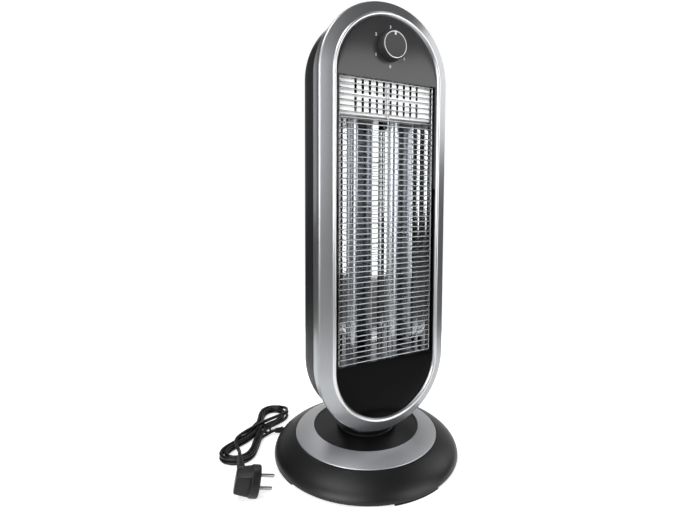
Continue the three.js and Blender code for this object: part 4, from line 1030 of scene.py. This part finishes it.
def rear_shell_shape():
    bm = bmesh.new()
    start = [(side_radius, shell_front)]
    carried(bm, start + [(side_radius, shell_middle)] + shell_profile(), closed=False)
    edges = rim_at(bm, back_y)
    for lowest in vent_starts:
        for i in range(vent_count):
            edges += outline(bm, vent_slot(lowest + vent_pitch * i))[1]
    filled(bm, edges)
    skin = finished(bm, "rear_moulding", black_plastic, "head", ["rear_shell"])
    shell = walled(skin, shell_wall)

    inset = 0.3
    filling, wells, bores = bmesh.new(), bmesh.new(), bmesh.new()
    carried(filling, start + shell_profile(-inset), closed=False)
    for y in (shell_front, back_y - inset):
        filled(filling, rim_at(filling, y))
    for x, z in screw_places:
        rod_along_y(wells, well_radius, shell_front, back_y, x, z)
        rod_along_y(bores, head_bore, screw_seat, back_y + bore_past, x, z)
        rod_along_y(bores, shank_bore, shank_bore_front, screw_seat + bore_overlap, x, z)
    joined = as_object(wells, "wells")
    combine(joined, as_object(filling, "filling"), "INTERSECT")
    combine(shell, joined, "UNION")
    combine(shell, as_object(bores, "bores"), "DIFFERENCE")
    return shell


rear_moulding = rear_shell_shape()
print("the rear shell has", len(rear_moulding.data.polygons), "faces")

for i, (x, z) in enumerate(screw_places):
    facing_back = shifted(x, screw_seat + cap_height + gap, z) @ rotated(-90, "X")
    names = f"shell_fixing_{i + 1}", f"shell_screw_{i + 1}"
    screw_shape(*names, "head", facing_back, head=3.4, cap=cap_height, shank=1.7, length=44)

# %% [markdown]
# ## The neck
# A collar rests on the deck and a short column carries the head. The column's top follows the
# head's round underside. A Boolean could trim it, but the head's width is known at each depth,
# so the last ring is lifted point by point to meet it, and the mesh stays clean.

# %% Neck
front_rise, front_run, front_edge = 4.7, 28.3, -25


def head_radius_at(y):
    """How wide the head is at a depth."""
    if y >= shell_bend:
        share = (y - shell_bend) / (back_y - shell_bend)
        return back_half + (side_radius - back_half) * math.sqrt(1 - share * share)
    forward = min(max((front_edge - y) / front_run, 0), 1)
    return side_radius + front_rise * math.sqrt(forward)


def neck_shape():
    collar = [(15.2, 38.3), (43.6, 38.3), (44.3, 38.9), (44.3, 40.2), (43.4, 41)]
    fillet = quadratic((39.5, 41), (36, 41), (36, 44.5), 6)
    column_top, sleeve_length = 50, 7.5
    bm = spun(collar + fillet + [(36, column_top)], 96)
    verts, crown = drawn(bm, open_edges(bm, lambda point: point.z > column_top - 1))
    for vert in verts:
        x, y, _ = vert.co
        vert.co.z = lower_centre - math.sqrt(head_radius_at(y) ** 2 - x * x) - gap
    bmesh.ops.holes_fill(bm, edges=crown, sides=0)
    _, sleeve_end = drawn(bm, open_edges(bm), (0, 0, -sleeve_length))
    bmesh.ops.holes_fill(bm, edges=sleeve_end, sides=0)
    return finished(bm, "neck_moulding", base_plastic, "head", ["neck"])


neck_shape()

# %% [markdown]
# ## The panel
# One black plate fills the frame. Above the opening it carries the dial, below it is bare and
# polished, and beside the opening it leaves two narrow rails with walls behind them. The
# opening could be cut out of it. It is easier left out: the space between the oblong and the
# rectangle is filled, and then drawn back to the plate's thickness.

# %% Panel
opening_half, opening_bottom, opening_top = 78.5, 158.3, 547.6
plate_radius, panel_face, plate_depth = 80, -61, 2.5
flange_radius, flange_face, flange_depth = 87.8, -58.6, 2.1
rail_front, rail_back, rail_width = -58.4, -50, 1.8


def rectangle(half, y, bottom, top, x=0):
    """An upright rectangle that faces forward."""
    return [(x - half, y, bottom), (x + half, y, bottom), (x + half, y, top), (x - half, y, top)]


def pierced(bm, radius, y, depth):
    """An oblong plate with the opening in it: filled, then drawn back along Y."""
    opening = rectangle(opening_half, y, opening_bottom, opening_top)
    edges = outline(bm, oblong(radius, y))[1] + outline(bm, opening)[1]
    thickened(bm, filled(bm, edges), (0, depth, 0))


def panel_shape():
    bm = bmesh.new()
    pierced(bm, plate_radius, panel_face, plate_depth)
    soften(bm, 0.35)
    pierced(bm, flange_radius, flange_face, flange_depth)
    for low in (-opening_half - rail_width, opening_half):
        rail_end = (low + rail_width, rail_back, opening_top)
        block(bm, (low, rail_front, opening_bottom), rail_end)
    return finished(bm, "panel_moulding", panel_black, "head", ["front_panel"])


panel_shape()

# %% [markdown]
# ## The guard
# The guard is 53 level wires whose ends turn back into the sides, welded to three uprights.
# One wire is drawn: a small ring is extruded, spun round the corner, and extruded again. An
# Array modifier could repeat it, but it would repeat the uprights too, so the rest are copies
# in the same mesh.

# %% Guard
wire_count, wire_pitch, wire_radius = 53, 7.4, 0.9
guard_y, guard_back, guard_reach, guard_corner = -58.4, -49.4, 77.3, 3
wires_height = (wire_count - 1) * wire_pitch
lowest_wire = (opening_bottom + opening_top - wires_height) / 2
uprights, upright_back, upright_past = (-75.4, 0, 75.4), 1.6, 3.6


def wire_shape(bm):
    """The lowest wire, from behind at the left to behind at the right."""
    ring = bmesh.ops.create_circle(bm, segments=8, radius=wire_radius, cap_ends=True)["verts"]
    start = shifted(-guard_reach, guard_back, lowest_wire) @ rotated(90, "X")
    settle(bm, start, verts=ring)
    edges = bm.edges[:]
    bend_y, bend_x = guard_y + guard_corner, guard_reach - guard_corner
    forward = bend_y - guard_back
    for way, corner_x in (
        ((0, forward, 0), -bend_x),
        ((2 * bend_x, 0, 0), bend_x),
        ((0, -forward, 0), None),
    ):
        verts, edges = drawn(bm, edges, way)
        if corner_x is not None:
            corner = (corner_x, bend_y, lowest_wire)
            edges = only(BMEdge, swept(bm, verts + edges, turn / 4, 4, corner))
    bmesh.ops.holes_fill(bm, edges=edges, sides=0)
    bmesh.ops.remove_doubles(bm, verts=bm.verts, dist=0.001)


def guard_shape():
    bm = bmesh.new()
    wire_shape(bm)
    wire = bm.faces[:]
    for i in range(1, wire_count):
        copy = bmesh.ops.duplicate(bm, geom=wire)["geom"]
        shift(bm, (0, 0, i * wire_pitch), only(BMVert, copy))
    size = {"radius1": wire_radius, "radius2": wire_radius, "depth": wires_height + upright_past}
    for x in uprights:
        rod = bmesh.ops.create_cone(bm, cap_ends=True, segments=12, **size)["verts"]
        shift(bm, (x, guard_y + upright_back, (opening_bottom + opening_top) / 2), rod)
    return finished(bm, "guard_wires", chrome, "head", ["wire_guard"], 60)


guard_shape()

# %% [markdown]
# ## Sheet metal behind the guard
# The vent plate and the reflector are folded from thin sheet. They could be drawn as solids,
# with the thickness worked out round each fold. Instead each is a skin with no thickness, a
# pierced face with its sides or a drawn-out profile, and Solidify then gives it the thickness
# of the sheet.

# %% Vent plate
sheet = 0.8
plate_half, plate_bottom, plate_top = 74.8, 497.4, 551.6
plate_y, plate_back = -54, -23.8
slot_half, slot_length, slot_pitch, row_pitch, slot_margin = 1.9, 20, 11.1, 25, 4


def vent_plate_shape():
    bm = bmesh.new()
    rim = outline(bm, rectangle(plate_half, plate_y, plate_bottom, plate_top))[1]
    edges = rim[:]
    for row in range(2):
        low = plate_bottom + slot_margin + row_pitch * row
        for i in range(10):
            x = (i - 4.5) * slot_pitch
            edges += outline(bm, rectangle(slot_half, plate_y, low, low + slot_length, x))[1]
    filled(bm, edges)
    drawn(bm, rim, (0, plate_back - plate_y, 0))
    soften(bm, 1.2, angle=60, segments=3)
    return finished(bm, "vent_sheet_plate", vent_sheet, "head", ["vent_plate"])


walled(vent_plate_shape(), sheet)

# %% [markdown]
# The reflector is one sheet with two troughs, a ridge between them, and a flange with a
# pressed rib at each side. The troughs could be arcs, but with a power one number says how
# flat their floors are. The profile is symmetric, so only its right half is worked out.

# %% Reflector
reflector_half, ridge, flange, trough_depth, reflector_face = 79.3, 4.6, 14.4, 29.5, -23.5
rib_inset, rib_rise, side_depth = 6.4, 1.6, 25.5
cavity_top = 516.4


def reflector_profile(steps=20):
    width = reflector_half - flange - ridge
    right = []
    for i in range(steps + 1):
        share = i / steps
        deep = 1 - abs(2 * share - 1) ** 2.2
        right.append((ridge + width * share, reflector_face + trough_depth * deep))
    right += [
        (reflector_half - rib_inset, reflector_face - rib_rise),
        (reflector_half, reflector_face),
        (reflector_half, reflector_face - side_depth),
    ]
    return [(-x, y) for x, y in reversed(right)] + right


def reflector_shape():
    bm = bmesh.new()
    bottom = [(x, y, opening_bottom) for x, y in reflector_profile()]
    drawn(bm, outline(bm, bottom, closed=False)[1], (0, 0, cavity_top - opening_bottom))
    return finished(bm, "reflector_sheet", bright_sheet, "head", ["reflector"])


walled(reflector_shape(), sheet, offset=1)

# %% [markdown]
# ## The tubes
# Each heating element is a quartz tube between two ceramic caps, with a carbon ribbon inside
# that is twisted along its length. A straight strip could be twisted by a modifier, but the
# ribbon is just as short to make: one face is extruded and turned step by step.

# %% Tubes
tube_x, tube_y = 34.9, -16.5
tube_bottom, tube_top = 143.2, 514.1
tube_inner, tube_outer = 6.5, 8
low_cap, high_cap = (136.9, 156.9), (498.4, 520.4)


def cap_shape(name, node, x, bottom, top, opens_up):
    height, floor = top - bottom, 6
    profile = [
        (0, 0), (8.9, 0), (9.5, 0.6), (9.5, height - 0.6),
        (9.1, height), (8.3, height), (8.3, floor), (0, floor),
    ]
    places = [shifted(x, tube_y, bottom)]
    if not opens_up:
        places.insert(0, shifted(0, 0, height) @ rotated(180, "X"))
    finished(spun(profile, 40, *places), name, ceramic, "head", [node])


def ribbon_shape(number, x):
    bm = bmesh.new()
    half_width, half_thickness, half_twists, steps = 2.6, 0.4, 6, 96
    corners = [
        (half_width, half_thickness, tube_bottom),
        (-half_width, half_thickness, tube_bottom),
        (-half_width, -half_thickness, tube_bottom),
        (half_width, -half_thickness, tube_bottom),
    ]
    face = bm.faces.new(outline(bm, corners)[0])
    twist = Matrix.Rotation(half_twists * turn / 2 / steps, 3, "Z")
    for i in range(steps):
        grown = thickened(bm, [face], (0, 0, (tube_top - tube_bottom) / steps))[0]
        bmesh.ops.rotate(bm, cent=(0, 0, 0), matrix=twist, verts=grown.verts[:])
        if i > 0:
            bmesh.ops.delete(bm, geom=[face], context="FACES_ONLY")
        face = grown
    settle(bm, shifted(x, tube_y, 0))
    name, node = f"carbon_ribbon_{number}", f"carbon_filament_{number}"
    return finished(bm, name, carbon_fibre, "head", [node], 60)


tube_profile = [
    (tube_inner, tube_bottom), (tube_outer, tube_bottom),
    (tube_outer, tube_top), (tube_inner, tube_top),
]
for number, x in ((1, -tube_x), (2, tube_x)):
    tube = spun(tube_profile, 48, shifted(x, tube_y, 0), closed=True)
    name, node = f"glass_tube_{number}", f"quartz_tube_{number}"
    finished(tube, name, quartz, "head", [node], 50)
    ribbon_shape(number, x)
    cap_shape(f"lower_cap_{number}", f"lower_tube_cap_{number}", x, *low_cap, True)
    cap_shape(f"upper_cap_{number}", f"upper_tube_cap_{number}", x, *high_cap, False)

# %% [markdown]
# ## The dial
# The knob is a plain black drum that narrows to its face, with a bright ring let into the face
# and a white notch for a pointer. Its profiles could be drawn lying down, as the knob is, but
# heights are easier to read. They are spun upright, with the height counted forward from the
# head's middle, and one matrix points them forward at the dial's place.

# %% Knob
dial_z = 592.5
knob_back, knob_front = 61.5, 73.9
dial_place = shifted(0, 0, dial_z) @ rotated(90, "X")

inner_face = knob_front - 3.6
knob_hollow = [
    (3.3, knob_back), (5.8, knob_back), (5.8, inner_face), (16.8, inner_face),
    (18.2, knob_back), (20, knob_back), (19.95, knob_back + 1),
]
knob_face = (
    (19.05, 1.4), (18.8, 0.7), (18.2, 0.15), (18.0, 0), (17.9, 0.7), (16.5, 0.7),
    (16.4, 0.05), (12, 0.3), (0, 0.4), (0, 1.8), (3.3, 1.8),
)
knob_profile = knob_hollow + [(radius, knob_front - depth) for radius, depth in knob_face]
ring_low, ring_side, ring_top = knob_front - 0.55, knob_front + 0.1, knob_front + 0.3
trim_profile = [
    (16.55, ring_low), (16.55, ring_side), (16.8, ring_top),
    (17.6, ring_top), (17.85, ring_side), (17.85, ring_low),
]
drum = spun(knob_profile, 96, dial_place)
finished(drum, "knob_drum", knob_plastic, "dial", ["knob"])
trim = spun(trim_profile, 96, dial_place, closed=True)
finished(trim, "knob_line", bead_silver_and_painted_highlight, "dial", ["knob_ring"], 50)


def pointer_shape():
    bm = bmesh.new()
    half_width, low, high = 1.25, dial_z + 12.6, dial_z + 18
    block(bm, (-half_width, -knob_front - 0.35, low), (half_width, -knob_front + 0.6, high))
    soften(bm, 0.25)
    return finished(bm, "knob_pointer", white_print, "dial", ())


pointer_shape()
print("the knob stands", round(knob_front + panel_face, 1), "mm proud of the panel")


# %% [markdown]
# Plain numbers stand round the knob. An image could carry them, but print in an image turns
# soft when a camera comes near. Each number starts as a text curve, is made a mesh, and is
# then laid on the panel.

# %% Numbers
number_size, number_weight, number_circle, number_lift = 5.4, 0.12, 26.4, 0.05


def number_shape(text, clock):
    """A plain number on the panel, beside the knob."""
    letters = bpy.data.curves.new("dial_number_" + text, "FONT")
    letters.body = text
    letters.size, letters.offset = number_size * mm, number_weight * mm
    letters.extrude = number_lift * mm
    letters.align_x = letters.align_y = "CENTER"
    letters.resolution_u = 3
    flat = linked("flat", letters)
    evaluated = flat.evaluated_get(bpy.context.evaluated_depsgraph_get())
    shape = bpy.data.meshes.new_from_object(evaluated)
    bpy.data.objects.remove(flat)
    bm = bmesh.new()
    bm.from_mesh(shape)
    bpy.data.meshes.remove(shape)
    bmesh.ops.scale(bm, vec=(1 / mm,) * 3, verts=bm.verts)
    bmesh.ops.remove_doubles(bm, verts=bm.verts, dist=0.001)
    x, z = on_circle(number_circle, 90 - clock)
    settle(bm, shifted(x, panel_face - number_lift, dial_z + z) @ rotated(90, "X"))
    return finished(bm, "dial_number_" + text, white_print, "head", ())


for i in range(6):
    number_shape(str(i), 180 + 60 * i)

# %% [markdown]
# ## Finishes for the parts that keep their CAD shape
# Everything inside the base and behind the reflector already has its shape. It could be drawn
# again with finer curves, but it is hardly ever seen, so it only gets the finish of the real
# thing. The two end plates are the exception: their sheet is painted near black, as painted shade
# and dark reflection inside the cavity.

# %% Hidden parts
kept = {
    black_plastic: ["base_plate", "tip_switch", "rotary_switch"],
    zinc: ["tip_spring", "swivel_motor", "swing_arm", "arm_nut", "heat_shield", "knob_spindle"],
    white_nylon: ["crank", "neck_nut", "cord_clamp"],
    dark_iron: ["counterweight"],
    black_rubber: ["thrust_washer"],
    # The end plates' near-black sheet is painted shade.
    sheet_painted_dark: ["lower_end_plate", "upper_end_plate"],
    cord_cover: ["inner_lead"],
    chrome: ["thermal_cutout"],
}
for finish, names in kept.items():
    for name in names:
        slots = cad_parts[name].data.materials
        slots.clear()
        slots.append(finish)
print(sum(map(len, kept.values())), "nodes keep their CAD shape")

# %% [markdown]
# ## Floor and room
# The heater stands on white paper in a dim studio with a white backdrop behind it. The camera
# sees white all round. Mirrors see the paper, the backdrop, the soft lamps and the dim room:
# that is what gives the bright metal its sharp contrast. A room that is white on all sides
# would be simpler, but bright metal looks flat in it.

# %% Floor
mirror_white = 0.6


def seen_by(recipe, *kinds):
    """One where a ray of one of these kinds arrives, and nought elsewhere."""
    total = 0
    for kind in kinds:
        total = recipe.node("LightPath", output=f"Is {kind} Ray") + total
    return total.at_most(1)


def floor_finish():
    """White paper under the heater, and a darker floor round it that the camera sees as white."""
    recipe = Recipe("floor", Roughness=0.9, Specular_IOR_Level=0.0, Emission_Strength=1.0)
    paper_end, paper_sharpness = 0.58, 14
    shadow_end, shadow_sharpness, near_level = 0.2, 2, 0.6
    x, y, _ = recipe.split("Object")
    out = (x * x + y * y) ** 0.5
    far = ((out - shadow_end) * shadow_sharpness).as_share()
    paper = 1 - ((out - paper_end) * paper_sharpness).as_share()
    mirrored = seen_by(recipe, "Glossy", "Transmission") * paper * mirror_white
    glow = near_level + (1 - near_level) * far
    bright = (seen_by(recipe, "Camera") * glow + mirrored).at_most(1)
    recipe.set(
        Base_Color=recipe.mix(paper, (0.08, 0.08, 0.08), (0.8, 0.8, 0.8)),
        Emission_Color=recipe.mix(bright, (0, 0, 0), (1, 1, 1)),
    )
    return recipe.material


floor_half, floor_drop = 6000, 0.0002
floor_bm = bmesh.new()
bmesh.ops.create_grid(floor_bm, x_segments=1, y_segments=1, size=floor_half)
floor = as_object(floor_bm, "floor")
floor.data.materials.append(floor_finish())
floor.location.z = -floor_drop
print("the floor is", 2 * floor_half * mm, "m wide")

# %% [markdown]
# The room is the world's background. The direction of a ray says whether it would meet the
# backdrop, which stands behind the heater as the camera sees it and ends at some height. A
# plane could hang there, but it would stand in the way of lamps and of other cameras.

# %% Room
room_level = 0.03
back_x, back_y_share, backdrop_from, backdrop_top = 0.48, 0.875, 0.6, 0.42
side_sharpness, top_sharpness = 6, 8


def studio_world():
    """White to the camera. Mirrors see a white backdrop behind the heater in a dim room."""
    world = bpy.data.worlds.new("studio")
    bpy.context.scene.world = world
    recipe = Recipe("studio", world, "Background", Color=(1, 1, 1))
    x, y, z = recipe.split("Generated")
    behind = back_x * x + back_y_share * y
    backdrop = ((behind - backdrop_from) * side_sharpness).as_share()
    below_top = ((backdrop_top - z) * top_sharpness).as_share()
    reflected = seen_by(recipe, "Glossy", "Transmission")
    mirrored = reflected * backdrop * below_top * mirror_white
    seen = (seen_by(recipe, "Camera") + mirrored).at_most(1)
    recipe.set(Strength=room_level + (1 - room_level) * seen)
    return world


print("the world is", studio_world().name)

# %% [markdown]
# ## Light
# Six soft boxes stand round the heater. The paint, the bead and the knob take their bright
# lines from them. A picture of a studio could light the heater too, but lamps can be moved one
# by one. A box's brightness says how many times as bright as white paper it looks in a mirror,
# and its power follows from that and from its size.

# %% Lamps
def soft_lamp(name, place, target, width, height, brightness):
    """A soft box that faces a target."""
    lamp = bpy.data.lights.new(name, "AREA")
    lamp.shape = "RECTANGLE"
    lamp.size, lamp.size_y = width, height
    lamp.energy = brightness * math.pi * width * height
    made = linked(name, lamp)
    made.location = place
    facing = Vector(target) - Vector(place)
    made.rotation_euler = facing.to_track_quat("-Z", "Y").to_euler()


# name, place, target, width, height, brightness
soft_lamp("front_right", (0.62, -1.1, 0.56), (0, 0, 0.45), 0.82, 1.06, 3.2)
soft_lamp("left", (-1.6, -0.75, 0.68), (0, 0, 0.4), 0.8, 1.0, 5.5)
soft_lamp("right", (1.7, -0.15, 1.2), (0, 0, 0.5), 0.8, 1.2, 2.5)
soft_lamp("top", (0.45, 0.95, 1.85), (0, 0, 0.3), 1.2, 1.2, 3.2)
soft_lamp("top_left", (-0.9, -0.15, 1.8), (0, -0.1, 0), 1.1, 0.9, 4.4)
soft_lamp("front_left", (-1.1, -1.0, 0.75), (0, 0, 0.1), 0.6, 1.0, 3.6)
bpy.context.scene.view_settings.view_transform = "Standard"
print("the room has", len(bpy.data.lights), "lamps")
